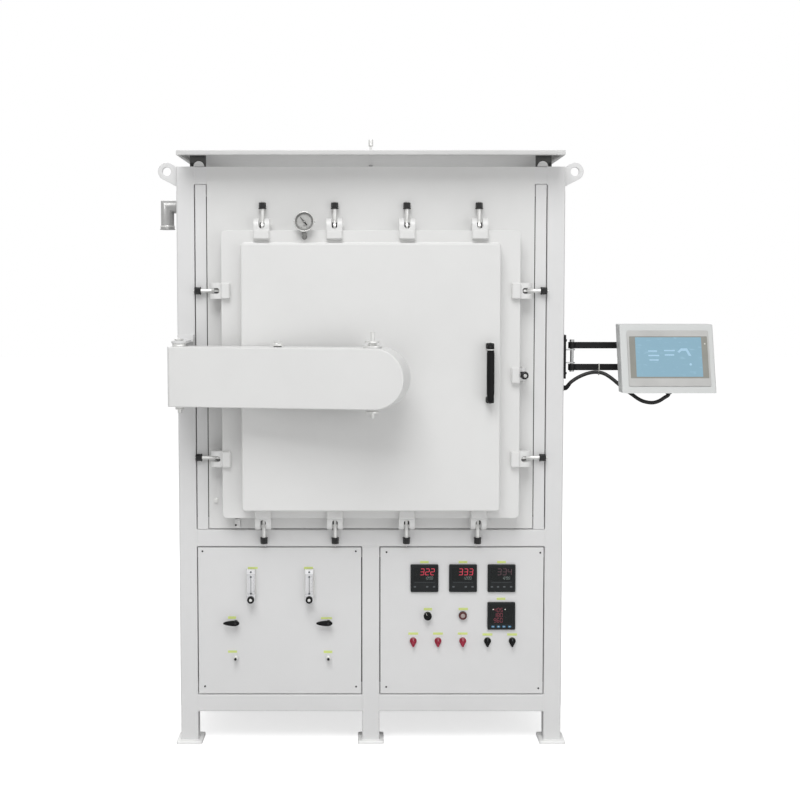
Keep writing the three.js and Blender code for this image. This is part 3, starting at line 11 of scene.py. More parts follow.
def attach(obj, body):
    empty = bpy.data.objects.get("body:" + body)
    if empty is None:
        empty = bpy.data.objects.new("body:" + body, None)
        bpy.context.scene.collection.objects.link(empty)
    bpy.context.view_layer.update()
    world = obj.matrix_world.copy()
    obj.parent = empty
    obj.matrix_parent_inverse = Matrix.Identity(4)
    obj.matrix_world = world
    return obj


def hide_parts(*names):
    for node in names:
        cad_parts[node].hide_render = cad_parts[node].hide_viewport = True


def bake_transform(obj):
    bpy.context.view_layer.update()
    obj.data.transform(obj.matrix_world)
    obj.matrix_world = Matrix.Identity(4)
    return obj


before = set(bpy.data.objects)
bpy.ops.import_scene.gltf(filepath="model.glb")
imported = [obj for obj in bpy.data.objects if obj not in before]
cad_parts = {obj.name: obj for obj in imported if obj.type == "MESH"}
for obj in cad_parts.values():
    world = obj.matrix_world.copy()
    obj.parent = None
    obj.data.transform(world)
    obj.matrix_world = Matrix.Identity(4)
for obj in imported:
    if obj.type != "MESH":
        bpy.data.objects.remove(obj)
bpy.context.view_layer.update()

bl_info = {
    "name": "Vacuum Atmosphere Furnace",
    "version": (1, 0, 0),
    "blender": (4, 5, 0),
    "location": "3D View > Sidebar > Furnace",
    "description": "Builds the visible pieces of a tube-frame vacuum atmosphere furnace",
    "category": "Object",
}

MM = 0.001
QUARTER = math.pi / 2
NEAR = 1e-6
IDENTITY = Matrix.Identity(4)


def shade(code):
    """Linear colour of a six-digit screen colour."""
    parts = [int(code[i : i + 2], 16) / 255 for i in (0, 2, 4)]
    return tuple(p / 12.92 if p <= 0.04045 else ((p + 0.055) / 1.055) ** 2.4 for p in parts)


def colour_property(name, code, description):
    return FloatVectorProperty(
        name=name, description=description, subtype="COLOR", size=3, min=0, max=1, default=shade(code)
    )


class FurnaceColours(bpy.types.PropertyGroup):
    """Colours of the furnace's finishes"""

    cabinet: colour_property("Cabinet paint", "E0E0E0", "Powder coat of the frame, covers and panels")
    door: colour_property("Door paint", "E3E3E2", "Powder coat of the door and its arm")
    fascia: colour_property("Fascia paint", "E0E0DF", "Powder coat of the sheet round the chamber")
    fittings: colour_property("Black fittings", "0C0C0D", "Nuts, levers, knobs and bars")
    selectors: colour_property("Red selectors", "9C1A38", "Plastic of the red selector handles")
    labels: colour_property("Label plates", "DAE88E", "Blank plates beside the instruments")
    screen: colour_property("Screen", "84A8BA", "Lit area of the terminal")
    digits: colour_property("Display digits", "E8485E", "Lit figures of the panel meters")


class FurnaceSizes(bpy.types.PropertyGroup):
    """Sizes that change how the furnace's pieces are finished"""

    tube_corner: FloatProperty(
        name="Tube corner", description="Corner radius of the frame tube", default=0.0045, unit="LENGTH"
    )
    weld_bead: FloatProperty(
        name="Weld bead", description="Radius of the weld beads", default=0.0018, unit="LENGTH"
    )
    edge: FloatProperty(
        name="Eased edge", description="Rounding of cut plate edges", default=0.0012, unit="LENGTH"
    )
    box_bend: FloatProperty(
        name="Door box bend", description="Bend radius round the door's box", default=0.006, unit="LENGTH"
    )
    thread_pitch: FloatProperty(
        name="Thread pitch", description="Pitch of the swing bolts' thread", default=0.002, unit="LENGTH"
    )


class FurnaceStage(bpy.types.PropertyGroup):
    """Lights and camera of the studio"""

    key_power: FloatProperty(
        name="Key light", description="Power of the large front light", default=330, unit="POWER"
    )
    fill_power: FloatProperty(
        name="Fill light", description="Power of the fill light", default=30, unit="POWER"
    )
    cover_power: FloatProperty(
        name="Cover light", description="Power of the light in the hollow under the cover",
        default=1.7, unit="POWER",
    )
    surround: FloatProperty(
        name="Surround", description="Brightness of the surroundings on the object",
        default=0.42, subtype="FACTOR",
    )
    camera_pitch: FloatProperty(
        name="Camera pitch", description="Camera's tilt down",
        default=math.radians(4.11), subtype="ANGLE",
    )


def colours():
    return bpy.context.scene.furnace_colours


def size_mm(name):
    return getattr(bpy.context.scene.furnace_sizes, name) / MM


# Placement

def at(x=0.0, y=0.0, z=0.0):
    return Matrix.Translation((x, y, z))


def turned(degrees, axis):
    return Matrix.Rotation(math.radians(degrees), 4, axis)


FACING_FRONT = turned(90, "X")
FACING_BACK = turned(-90, "X")
FACING_RIGHT = Matrix(((0, 0, 1, 0), (1, 0, 0, 0), (0, 1, 0, 0), (0, 0, 0, 1)))
FACING_LEFT = Matrix(((0, 0, -1, 0), (-1, 0, 0, 0), (0, 1, 0, 0), (0, 0, 0, 1)))


def on_front(x, y, z):
    """Local X to the right, local Y up, local Z towards the viewer."""
    return at(x, y, z) @ FACING_FRONT


def moved(form, place):
    bmesh.ops.transform(form, matrix=place, verts=form.verts)
    return form


def about(middle, half):
    """Span of a half width on both sides of its middle."""
    return (middle - half, middle + half)


# Angles and outlines

def quarter(steps, first=0):
    """Cosine and sine at even steps of a quarter turn."""
    angles = [QUARTER * i / steps for i in range(first, steps + 1)]
    return [(math.cos(a), math.sin(a)) for a in angles]


def round_angles(sides):
    return [2 * math.pi * i / sides for i in range(sides)]


def circle(radius, x=0.0, y=0.0, sides=40):
    step = 2 * math.pi / sides
    return [(x + radius * math.cos(step * i), y + radius * math.sin(step * i)) for i in range(sides)]


def arc(x, y, radius, start, end, steps=8):
    angles = [math.radians(start + (end - start) * i / steps) for i in range(steps + 1)]
    return [(x + radius * math.cos(a), y + radius * math.sin(a)) for a in angles]


def rounded_rectangle(width, height, corner, x=0.0, y=0.0, steps=5):
    right = width / 2 - corner
    up = height / 2 - corner
    points = []
    for i, (sx, sy) in enumerate(((1, 1), (-1, 1), (-1, -1), (1, -1))):
        points += arc(x + sx * right, y + sy * up, corner, 90 * i, 90 * (i + 1), steps)
    return points


def grown(outline, by):
    """Outline moved outwards by a distance, corners mitred."""
    if not by:
        return list(outline)
    following = list(outline[1:]) + list(outline[:1])
    area = sum(a[0] * b[1] - b[0] * a[1] for a, b in zip(outline, following))
    side = 1 if area > 0 else -1
    places = []
    for i, here in enumerate(outline):
        before = Vector(here) - Vector(outline[i - 1])
        after = Vector(following[i]) - Vector(here)
        if before.length < NEAR:
            before = after
        if after.length < NEAR:
            after = before
        normals = [Vector((d.y, -d.x)) * side for d in (before.normalized(), after.normalized())]
        middle = normals[0] + normals[1]
        if middle.length < NEAR:
            middle = normals[0]
        middle = middle.normalized()
        reach = by / max(middle.dot(normals[0]), 0.35)
        places.append((here[0] + middle.x * reach, here[1] + middle.y * reach))
    return places


def rounded_corner(start, corner, end, t):
    """Place on the curve that rounds a corner between two ends."""
    return (1 - t) ** 2 * start + 2 * t * (1 - t) * corner + t**2 * end


# Forms, in millimetres

def facing_out(form):
    bmesh.ops.recalc_face_normals(form, faces=form.faces)
    return form


def skin(form, rows, cyclic=False):
    """Faces between rows of vertices; a row of one vertex is a tip."""
    for low, high in zip(rows, rows[1:] + rows[:1] if cyclic else rows[1:]):
        count = max(len(low), len(high))
        for i in range(count):
            j = (i + 1) % count
            corners = (low[i % len(low)], low[j % len(low)], high[j % len(high)], high[i % len(high)])
            form.faces.new(list(dict.fromkeys(corners)))


def block(x, y, z, edge=1.0, steps=2, along=None):
    """Bar between two places on each axis, its edges eased; along keeps the ends square."""
    form = bmesh.new()
    bmesh.ops.create_cube(form, size=1)
    spans = [(min(s), max(s)) for s in (x, y, z)]
    for vert in form.verts:
        vert.co = Vector([low + (high - low) * (c + 0.5) for (low, high), c in zip(spans, vert.co)])
    edges = list(form.edges)
    if along is not None:
        axis = "xyz".index(along)
        edges = [e for e in edges if abs((e.verts[0].co - e.verts[1].co).normalized()[axis]) > 0.9]
    if edge:
        bmesh.ops.bevel(form, geom=edges, offset=edge, segments=steps, profile=0.5, affect="EDGES")
    return form


def loft(rings, cyclic=False):
    """Skin through rings of equal length."""
    form = bmesh.new()
    rows = [[form.verts.new(p) for p in ring] for ring in rings]
    skin(form, rows, cyclic)
    if not cyclic:
        form.faces.new(rows[0])
        form.faces.new(rows[-1])
    return facing_out(form)


def stack(outline, levels):
    """Loft of one outline: each level is how far it grows and its height."""
    return loft([[(x, y, height) for x, y in grown(outline, grow)] for grow, height in levels])


def rounding(radius, height, steps=3):
    """Levels that round an edge inwards up to a height."""
    return [(-radius * (1 - c), height - radius + radius * s) for c, s in quarter(steps)]


def plate(outline, depth, holes=(), edge=1.0, steps=2):
    """Plate from its outline, from height 0 to its depth, with holes and eased edges."""
    form = bmesh.new()
    levels = [(edge * (1 - s), edge * (1 - c)) for c, s in quarter(steps)]
    levels += [(inset, depth - height) for inset, height in reversed(levels)]
    if not edge:
        levels = [(0, 0), (0, depth)]
    ends = ([], [])
    for ring, way in [(outline, -1)] + [(hole, 1) for hole in holes]:
        rows = [[form.verts.new((x, y, h)) for x, y in grown(ring, way * inset)] for inset, h in levels]
        skin(form, rows)
        ends[0].append(rows[0])
        ends[1].append(rows[-1])
    for rows in ends:
        if len(rows) == 1:
            form.faces.new(rows[0])
            continue
        edges = [form.edges.get(pair) for row in rows for pair in zip(row, row[1:] + row[:1])]
        bmesh.ops.triangle_fill(form, use_beauty=True, use_dissolve=False, edges=edges)
    return facing_out(form)


def lathe(profile, sides=40, ease=0.5):
    """Turned form from radius and height pairs, its corners eased."""
    points = []
    for i, (r, h) in enumerate(profile):
        here = Vector((r, h))
        points.append(here)
        if i in (0, len(profile) - 1) or not ease or r < NEAR:
            continue
        before = Vector(profile[i - 1]) - here
        after = Vector(profile[i + 1]) - here
        if min(before.length, after.length) < NEAR or abs(before.angle(after) - math.pi) < 0.3:
            continue
        cut = min(ease, before.length / 2.2, after.length / 2.2)
        a = here + before.normalized() * cut
        b = here + after.normalized() * cut
        points[-1:] = [a, (a + b) * 0.25 + here * 0.5, b]
    form = bmesh.new()
    rows = []
    for r, h in points:
        spots = [(0, 0)] if r < NEAR else circle(r, sides=sides)
        rows.append([form.verts.new((x, y, h)) for x, y in spots])
    skin(form, rows)
    return facing_out(form)


def disc(radius, low, high, ease=0.5, sides=40):
    return lathe([(0, low), (radius, low), (radius, high), (0, high)], sides, ease)


def ring(outer, inner, low, high, ease=0.4, sides=40):
    """Ring with an open bore, its edges eased."""
    profile = [Vector(p) for p in ((inner, low), (outer, low), (outer, high), (inner, high))]
    eased = []
    for i, here in enumerate(profile):
        before = (profile[i - 1] - here).normalized() * ease
        after = (profile[(i + 1) % 4] - here).normalized() * ease
        eased += [here + before, here + (before + after) * 0.25, here + after]
    return loft([[(x, y, h) for x, y in circle(r, sides=sides)] for r, h in eased], cyclic=True)


def hexagon(flats, height):
    """Hexagon nut or head with chamfered corners, from height 0."""
    per_side = 6
    corner = flats / math.sqrt(3)
    angles = [side * math.pi / 3 for side in range(7)]
    corners = [Vector((corner * math.cos(a), corner * math.sin(a))) for a in angles]
    outline = [a.lerp(b, i / per_side) for a, b in zip(corners, corners[1:]) for i in range(per_side)]
    flat = flats / 2 * 0.94
    drops = [max(0.0, p.length - flat) * math.tan(math.radians(28)) for p in outline]
    face = [(p.x * flat / p.length, p.y * flat / p.length) for p in outline]
    return loft([
        [(x, y, 0) for x, y in face],
        [(p.x, p.y, drop) for p, drop in zip(outline, drops)],
        [(p.x, p.y, height - drop) for p, drop in zip(outline, drops)],
        [(x, y, height) for x, y in face],
    ])


def threaded(radius, low, high, pitch=2.0):
    """Stud with the grooves of a thread and a chamfered end."""
    turns = max(2, round((high - low) / pitch))
    step = (high - low) / turns
    profile = [(0, low)]
    for i in range(turns):
        profile += [(radius * 0.97, low + i * step), (radius, low + (i + 0.5) * step)]
    profile += [(radius * 0.8, high), (0, high)]
    return lathe(profile, 24, 0)


def frames_along(points):
    """Two cross directions at each point of a route."""
    directions = []
    for i, point in enumerate(points):
        before = point - points[max(i - 1, 0)]
        after = points[min(i + 1, len(points) - 1)] - point
        directions.append((before.normalized() + after.normalized()).normalized())
    helper = Vector((0, 0, 1)) if abs(directions[0].z) < 0.9 else Vector((1, 0, 0))
    across = directions[0].cross(helper).normalized()
    crosses = []
    for direction in directions:
        across = (across - direction * across.dot(direction)).normalized()
        crosses.append((across, direction.cross(across)))
    return crosses


def sweep(points, radius, sides=20):
    """Round bar along points; radius is one number or one for each point."""
    places = [Vector(p) for p in points]
    radii = radius if isinstance(radius, (list, tuple)) else [radius] * len(places)
    rings = []
    for place, r, (across, over) in zip(places, radii, frames_along(places)):
        rings.append([
            place + across * (r * math.cos(a)) + over * (r * math.sin(a)) for a in round_angles(sides)
        ])
    return loft(rings)


def mitred_pipe(points, radius):
    """Round pipe through corners, cut at the corner's middle plane."""
    places = [Vector(p) for p in points]
    legs = [(b - a).normalized() for a, b in zip(places, places[1:])]
    across = legs[0].cross(Vector((0, 1, 0))).normalized()
    over = legs[0].cross(across)
    angles = round_angles(44)
    rings = []
    for i, place in enumerate(places):
        before = legs[max(i - 1, 0)]
        after = legs[min(i, len(legs) - 1)]
        plane = (before + after).normalized()
        row = []
        for angle in angles:
            spoke = across * (radius * math.cos(angle)) + over * (radius * math.sin(angle))
            row.append(place + spoke - before * (spoke.dot(plane) / before.dot(plane)))
        rings.append(row)
        turn = before.rotation_difference(after)
        across.rotate(turn)
        over.rotate(turn)
    return loft(rings)


def rounded_path(points, radius, steps=6):
    """Route through corner points with its corners rounded."""
    places = [Vector(p) for p in points]
    route = [places[0]]
    for a, b, c in zip(places, places[1:], places[2:]):
        reach = min(radius, (a - b).length / 2.1, (c - b).length / 2.1)
        start = b + (a - b).normalized() * reach
        end = b + (c - b).normalized() * reach
        route += [rounded_corner(start, b, end, i / steps) for i in range(steps + 1)]
    route.append(places[-1])
    return route


def smooth_route(points, per_span=6):
    """Centripetal Catmull-Rom route through points."""
    places = [Vector(p) for p in points]
    first = places[0] + (places[0] - places[1])
    last = places[-1] + (places[-1] - places[-2])
    places = [first] + places + [last]
    route = []
    for i in range(1, len(places) - 2):
        p0, p1, p2, p3 = places[i - 1 : i + 3]
        t0 = 0.0
        t1 = t0 + (p1 - p0).length ** 0.5
        t2 = t1 + (p2 - p1).length ** 0.5
        t3 = t2 + (p3 - p2).length ** 0.5
        for k in range(per_span):
            t = t1 + (t2 - t1) * k / per_span
            a1 = p0 * ((t1 - t) / (t1 - t0)) + p1 * ((t - t0) / (t1 - t0))
            a2 = p1 * ((t2 - t) / (t2 - t1)) + p2 * ((t - t1) / (t2 - t1))
            a3 = p2 * ((t3 - t) / (t3 - t2)) + p3 * ((t - t2) / (t3 - t2))
            b1 = a1 * ((t2 - t) / (t2 - t0)) + a2 * ((t - t0) / (t2 - t0))
            b2 = a2 * ((t3 - t) / (t3 - t1)) + a3 * ((t - t1) / (t3 - t1))
            route.append(b1 * ((t2 - t) / (t2 - t1)) + b2 * ((t - t1) / (t2 - t1)))
    route.append(places[-2])
    return route


def bead_round(x, y, z, radius, along):
    """Weld bead round a square tube, where it meets another; one of the spans is a single place."""
    spans = {"x": x, "y": y, "z": z}
    place = spans.pop(along)
    (a_name, a), (b_name, b) = spans.items()
    corners = [Vector(c) for c in ((a[0], b[0]), (a[1], b[0]), (a[1], b[1]), (a[0], b[1]))]
    points = []
    for i, here in enumerate(corners):
        start = here + (corners[i - 1] - here).normalized() * 4
        end = here + (corners[(i + 1) % 4] - here).normalized() * 4
        for t in (0, 0.5, 1):
            p = rounded_corner(start, here, end, t)
            spot = {along: place, a_name: p.x, b_name: p.y}
            points.append(Vector((spot["x"], spot["y"], spot["z"])))
    middle = sum(points, Vector()) / len(points)
    axis = Vector([1.0 if name == along else 0.0 for name in "xyz"])
    oval = [(radius * math.cos(a), 1.6 * radius * math.sin(a)) for a in round_angles(6)]
    rings = []
    for p in points:
        outward = (p - middle).normalized()
        rings.append([p + outward * out + axis * wide for out, wide in oval])
    return loft(rings, cyclic=True)


def mesh_object(form, name="form"):
    mesh = bpy.data.meshes.new(name)
    form.to_mesh(mesh)
    form.free()
    item = bpy.data.objects.new(name, mesh)
    bpy.context.scene.collection.objects.link(item)
    return item


def carved(form, cutters):
    """Form with cutters taken away from it."""
    body = mesh_object(form)
    tools = [mesh_object(c) for c in cutters]
    for tool in tools:
        modifier = body.modifiers.new("Cut", "BOOLEAN")
        modifier.object = tool
        modifier.solver = "EXACT"
    graph = bpy.context.evaluated_depsgraph_get()
    result = bmesh.new()
    result.from_mesh(body.evaluated_get(graph).to_mesh())
    for item in [body, *tools]:
        mesh = item.data
        bpy.data.objects.remove(item)
        bpy.data.meshes.remove(mesh)
    bmesh.ops.dissolve_limit(result, angle_limit=0.01, verts=result.verts, edges=result.edges)
    return result


def ease_edges(form, offset, angle):
    """Rounds the edges that turn by more than an angle."""
    sharp = [e for e in form.edges if len(e.link_faces) == 2 and e.calc_face_angle(0) > math.radians(angle)]
    bmesh.ops.bevel(
        form, geom=sharp, offset=offset, segments=2, profile=0.5, affect="EDGES", clamp_overlap=True,
    )
    return form


class Piece:
    """One object gathered from forms, each with one of the piece's finishes."""

    def __init__(self, name, *finishes):
        self.name = name
        self.finishes = finishes
        self.form = bmesh.new()

    def add(self, form, place=IDENTITY, finish=0):
        moved(form, place)
        if place.determinant() < 0:
            bmesh.ops.reverse_faces(form, faces=form.faces)
        for face in form.faces:
            face.material_index = finish
        mesh = bpy.data.meshes.new("part")
        form.to_mesh(mesh)
        form.free()
        self.form.from_mesh(mesh)
        bpy.data.meshes.remove(mesh)
        return self

    def ride(self, body, slot, *nodes, crossing=None):
        """Makes the object ride on a body, or, given a crossing, leaves it fixed where it stands."""
        bmesh.ops.scale(self.form, vec=(MM, MM, MM), verts=self.form.verts)
        item = mesh_object(self.form, self.name)
        for finish in self.finishes:
            item.data.materials.append(material(finish))
        item.data.shade_smooth()
        item.data.set_sharp_from_angle(angle=math.radians(35))
        item.modifiers.new("Even shading", "WEIGHTED_NORMAL").keep_sharp = True
        if crossing:
            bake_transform(item)
        else:
            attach(item, body)
        if nodes:
            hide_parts(*nodes)
        return item


# Finishes

class Graph:
    """Short calls for the nodes and links of a material or a world."""

    def __init__(self, owner, empty=False):
        owner.use_nodes = True
        self.owner = owner
        self.nodes = owner.node_tree.nodes
        self.links = owner.node_tree.links
        if empty:
            self.nodes.clear()

    def feed(self, socket, value):
        if isinstance(value, bpy.types.NodeSocket):
            self.links.new(value, socket)
        else:
            socket.default_value = value

    def node(self, kind, inputs=None, **settings):
        """Adds a node, each of its inputs a value or another node's output, and gives its outputs."""
        made = self.nodes.new("ShaderNode" + kind)
        for name, value in settings.items():
            setattr(made, name, value)
        for socket, value in (inputs or {}).items():
            self.feed(made.inputs[socket], value)
        return made.outputs

    def seen(self, rays):
        """One for rays of the camera, also through clear plastic."""
        either = {0: rays["Is Camera Ray"], 1: rays["Is Transmission Ray"]}
        return self.node("Math", either, operation="MAXIMUM")[0]


class Finish(Graph):
    """Principled shader with the helpers that its pattern needs."""

    def __init__(self, name, roughness, metallic=0.0):
        super().__init__(bpy.data.materials.new(name))
        self.shader = self.nodes["Principled BSDF"]
        self.set("Roughness", roughness).set("Metallic", metallic)
        self.place = self.node("TexCoord")["Object"]

    def set(self, socket, value):
        self.feed(self.shader.inputs[socket], value)
        return self

    def noise(self, scale, detail=2.0, roughness=0.5, place=None):
        inputs = {"Scale": scale, "Detail": detail, "Roughness": roughness, "Vector": place or self.place}
        return self.node("TexNoise", inputs)["Fac"]

    def stretched_noise(self, scale, *noise):
        place = self.node("Mapping", {"Scale": scale, "Vector": self.place})["Vector"]
        return self.noise(*noise, place)

    def colour(self, value, first, second, start=0.35, end=0.65):
        ramp = self.nodes.new("ShaderNodeValToRGB")
        for element, position, tint in zip(ramp.color_ramp.elements, (start, end), (first, second)):
            element.position = position
            element.color = (*tint, 1)
        self.feed(ramp.inputs["Fac"], value)
        return self.set("Base Color", ramp.outputs["Color"])

    def rough(self, value, low, high):
        limits = {"From Min": 0.3, "From Max": 0.7, "To Min": low, "To Max": high}
        return self.set("Roughness", self.node("MapRange", {**limits, "Value": value})["Result"])

    def bump(self, value, strength, distance):
        inputs = {"Strength": strength, "Distance": distance, "Height": value}
        return self.set("Normal", self.node("Bump", inputs)["Normal"])

    def glow(self, colour, strength):
        return self.set("Emission Color", (*colour, 1)).set("Emission Strength", strength)


def darker(colour, share):
    return tuple(c * share for c in colour)


def powder_coat(name, colour, roughness=0.4):
    finish = Finish(name, roughness)
    finish.colour(finish.noise(2.3, 4, 0.6), darker(colour, 0.965), colour)
    finish.rough(finish.noise(38, 3), roughness - 0.05, roughness + 0.06)
    return finish.bump(finish.noise(420, 2, 0.45), 0.05, 0.0003)


def bright_steel(name, colour, roughness=0.26, metallic=1.0):
    finish = Finish(name, roughness, metallic)
    finish.colour(finish.noise(60, 3, 0.6), darker(colour, 0.94), colour)
    return finish.rough(finish.noise(180, 2), roughness - 0.04, roughness + 0.06)


def brushed_steel(name, colour, roughness):
    finish = Finish(name, roughness, 1.0)
    streaks = finish.stretched_noise((60, 60, 2600), 1, 4, 0.6)
    finish.colour(streaks, darker(colour, 0.86), colour)
    finish.rough(streaks, roughness - 0.06, roughness + 0.12)
    return finish.bump(streaks, 0.05, 0.0001)


def moulded(name, colour, roughness, grain=700, depth=0.12, shine=0.5):
    finish = Finish(name, roughness)
    finish.set("Specular IOR Level", shine)
    finish.colour(finish.noise(9, 3), darker(colour, 0.88), colour)
    finish.rough(finish.noise(120, 2), roughness - 0.06, roughness + 0.06)
    return finish.bump(finish.noise(grain, 2), depth, 0.0002)


def glowing(name, colour, strength):
    finish = Finish(name, 0.4)
    finish.colour(finish.noise(600, 1), darker(colour, 0.85), colour)
    return finish.glow(colour, strength)


def clear(name, colour, roughness, ior, through):
    finish = Finish(name, roughness)
    finish.colour(finish.noise(30, 2), darker(colour, 0.97), colour)
    return finish.set("Transmission Weight", through).set("IOR", ior)


def speckled(name, colour, dark, roughness, metallic, specks, grain=None, limits=(0.35, 0.65)):
    """Two tones in specks; the grain is its noise, its strength and its depth."""
    finish = Finish(name, roughness, metallic)
    finish.colour(finish.noise(*specks), shade(dark), colour, *limits)
    if grain:
        noise, strength, distance = grain
        finish.bump(finish.noise(*noise), strength, distance)
    return finish


def terminal_picture(name, tint):
    finish = Finish(name, 0.18)
    bands = finish.stretched_noise((34, 6, 130), 1, 3, 0.5)
    finish.colour(bands, tint, tuple(min(1, c * 1.12 + 0.02) for c in tint), 0.6, 0.72)
    return finish.glow(tint, 0.06)


# Each finish: how it is made, its name, its colour as a property or a screen colour, and its values.
FINISHES = {
    "cabinet": (powder_coat, "Cabinet powder coat", "cabinet"),
    # The cover is the cabinet's white paint made darker: painted shade on the cover.
    "cover": (powder_coat, "Cover powder coat", "D6D6D5"),
    # The feet are the frame's powder coat made lighter: painted light for their lit tops.
    "foot": (powder_coat, "Foot powder coat", "FBFBFA"),
    "door": (powder_coat, "Door powder coat", "door", 0.36),
    "fascia": (powder_coat, "Fascia powder coat", "fascia", 0.42),
    # The terminal's paint is made darker than the cabinet's: painted shade on its upward-leaning case.
    "terminal": (powder_coat, "Terminal paint", "CDCFCE", 0.4),
    "zinc": (bright_steel, "Bright zinc plate", "EAEAE8", 0.36, 0.75),
    "steel": (brushed_steel, "Brushed stainless steel", "C2C3C3", 0.3),
    "gauge_steel": (bright_steel, "Gauge case steel", "DADAD8", 0.22, 0.9),
    "elbow": (bright_steel, "Satin vacuum pipe", "BABAB9", 0.34, 0.5),
    "brass": (bright_steel, "Valve brass", "B49A62"),
    "oxide": (moulded, "Black oxide steel", "141415", 0.4, 500, 0.1, 0.45),
    "black": (moulded, "Black plastic", "fittings", 0.5, 700, 0.1, 0.2),
    "bar_paint": (moulded, "Black bar paint", "121213", 0.5, 420, 0.05, 0.25),
    "crimson": (moulded, "Crimson plastic", "selectors", 0.3),
    "button_cap": (moulded, "Button cap", "B4A6A3", 0.35),
    "brown_red": (moulded, "Brown red plastic", "5A2C2A", 0.35),
    "white_plastic": (moulded, "White plastic", "E6E5DE", 0.35),
    "white_paint": (moulded, "White block plastic", "F2F2F4", 0.35),
    "meter": (moulded, "Meter case", "1B1E1F", 0.45, 900, 0.06, 0.3),
    "window": (moulded, "Meter window", "101414", 0.25, 1200, 0.01, 0.3),
    "key": (moulded, "Meter keys", "5B6063", 0.5),
    "blue_key": (moulded, "Blue meter keys", "4A86AE", 0.45),
    "ink": (moulded, "Dial ink", "1E1E1E", 0.6),
    # Rubber of the door seal; the same dark finish on the frame's gap strips is painted shade.
    "seal": (moulded, "Seal rubber", "2B2A2A", 0.6, 300, 0.2),
    "label": (moulded, "Label plate", "labels", 0.45, 300, 0.03),
    "screen_frame": (moulded, "Screen glass border", "92928B", 0.15, 300, 0.01),
    "silver": (moulded, "Silver bezel", "BCBCBA", 0.4, 900, 0.02),
    "nylon": (moulded, "Cable tie nylon", "C9C9C2", 0.4),
    # Dark grey of the cover's standoffs: painted shade of the hollow under the cover.
    "mount": (moulded, "Rubber mount", "4C4C4B", 0.7, 300, 0.1, 0.3),
    "dial_rim": (moulded, "Gauge dial rim", "8E8E8C", 0.5),
    "dark_hole": (moulded, "Hole shade", "101010", 0.8),
    "digits": (glowing, "Lit digits", "digits", 0.4),
    "dim_digits": (glowing, "Dim digits", "A04858", 0.12),
    "small_digits": (glowing, "Small lit digits", "98A5A0", 0.12),
    "faint_digits": (glowing, "Faint digits", "6E5058", 0.05),
    "picture": (glowing, "Screen picture", "A2C6DC", 0.08),
    "screen": (terminal_picture, "Terminal screen", "screen"),
    "acrylic": (clear, "Clear acrylic", "F6F6F8", 0.12, 1.3, 0.3),
    "dial": (speckled, "Gauge dial", "B9B9B7", "AEAEAC", 0.5, 0.0, (80, 2)),
    "cable": (speckled, "Cable jacket", "141414", "0A0A0A", 0.5, 0.0, (60, 3), ((1100, 2), 0.1, 0.0002)),
    "heater": (speckled, "Heating element", "8A837C", "4A4644", 0.6, 0.8, (45, 4), ((500, 3), 0.2, 0.0003)),
    "fibre": (
        speckled, "Ceramic fibre board", "F0ECE0", "D8D2C2", 0.95, 0.0,
        (160, 6, 0.7), ((340, 5, 0.7), 0.5, 0.001), (0.3, 0.7),
    ),
}
MADE = {}


def material(key):
    """The finish of that name, made once."""
    if key not in MADE:
        make, name, code, *values = FINISHES[key]
        named = getattr(colours(), code, None)
        colour = shade(code) if named is None else tuple(named)
        MADE[key] = make(name, colour, *values).owner
    return MADE[key]


# Places shared by several pieces, in millimetres

TUBE = 30
POSTS = (-628, 0, 628)
FRONT_ROW = 0
REAR_ROW = 1190
MIDDLE_Y = 595
BEAM_TOPS = (170, 747, 1984)
FACE_Y = -30
SHEET_Z = 1015
SEAM_Z = 717
CHAMBER_Z = 1281.0
FLANGE = (1005.0, 972.0)
FLANGE_FRONT = -61
PIVOT_Y = -46.0
PIVOT_UP = 15
HINGE = (-635.0, -179.0)
PIVOT = (5.479, -309.308)
ARM_TURN = 11.5
ARM_PLACE = at(*HINGE, 0) @ turned(-ARM_TURN, "Z")
ARM_LOW = 1185.0
ARM_HIGH = 1382.0
ARM_Z = (ARM_LOW + ARM_HIGH) / 2
VALVE_Y = 590
ELBOW_Y = 150
ELBOW_Z = 1858
CABLE_EXIT = (665.6, 5, 1232)
CABLE_END = (996, -141.5, 1225.7)
BOOM_Y = 5
TERMINAL_X = 991.0
TERMINAL_TOP = (-100.0, 1453.0)
TERMINAL_LEAN = 19.9
STATIONS = {}
for number, along in enumerate((-366.0, -122.0, 122.0, 366.0), 1):
    STATIONS[f"top_{number}"] = (0, along, FLANGE[1] / 2)
    STATIONS[f"bottom_{number}"] = (180, -along, FLANGE[1] / 2)
for number, up in enumerate((284.018, 0.0, -284.018), 1):
    STATIONS[f"left_{number}"] = (-90, up, FLANGE[0] / 2)
    STATIONS[f"right_{number}"] = (90, -up, FLANGE[0] / 2)
CLOSED_STATION = "right_2"


def station_place(name):
    """Local X along the flange's edge, local Z outwards from the edge."""
    turn, along, edge = STATIONS[name]
    return at(z=CHAMBER_Z) @ turned(turn, "Y") @ at(along, 0, edge)


def pan_screw(piece, place, radius=4.0, finish=1, dark=None):
    """Small round-headed screw; a dark finish on its socket disc is painted shade of the recess."""
    head = [(0, -0.5), (radius, -0.5), (radius, 0.6), (radius * 0.8, 1.9), (0, 2.3)]
    piece.add(lathe(head, 20, 0.3), place, finish)
    # A socket disc in a dark finish is painted shade of the socket's recess.
    piece.add(disc(radius * 0.34, 1.6, 2.45, 0.1, 6), place, finish if dark is None else dark)


def hex_socket_screw(piece, place, radius, height, finish, dark):
    piece.add(ring(radius, radius * 0.5, -0.5, height, 0.5, 24), place, finish)
    piece.add(disc(radius * 0.52, -0.5, height * 0.35, 0.1, 6), place, dark)


def half_disc(radius, thick):
    """Half-round weld nut on its flat."""
    return plate(arc(0, 0, radius, 0, 180, 16), thick, edge=1.0)


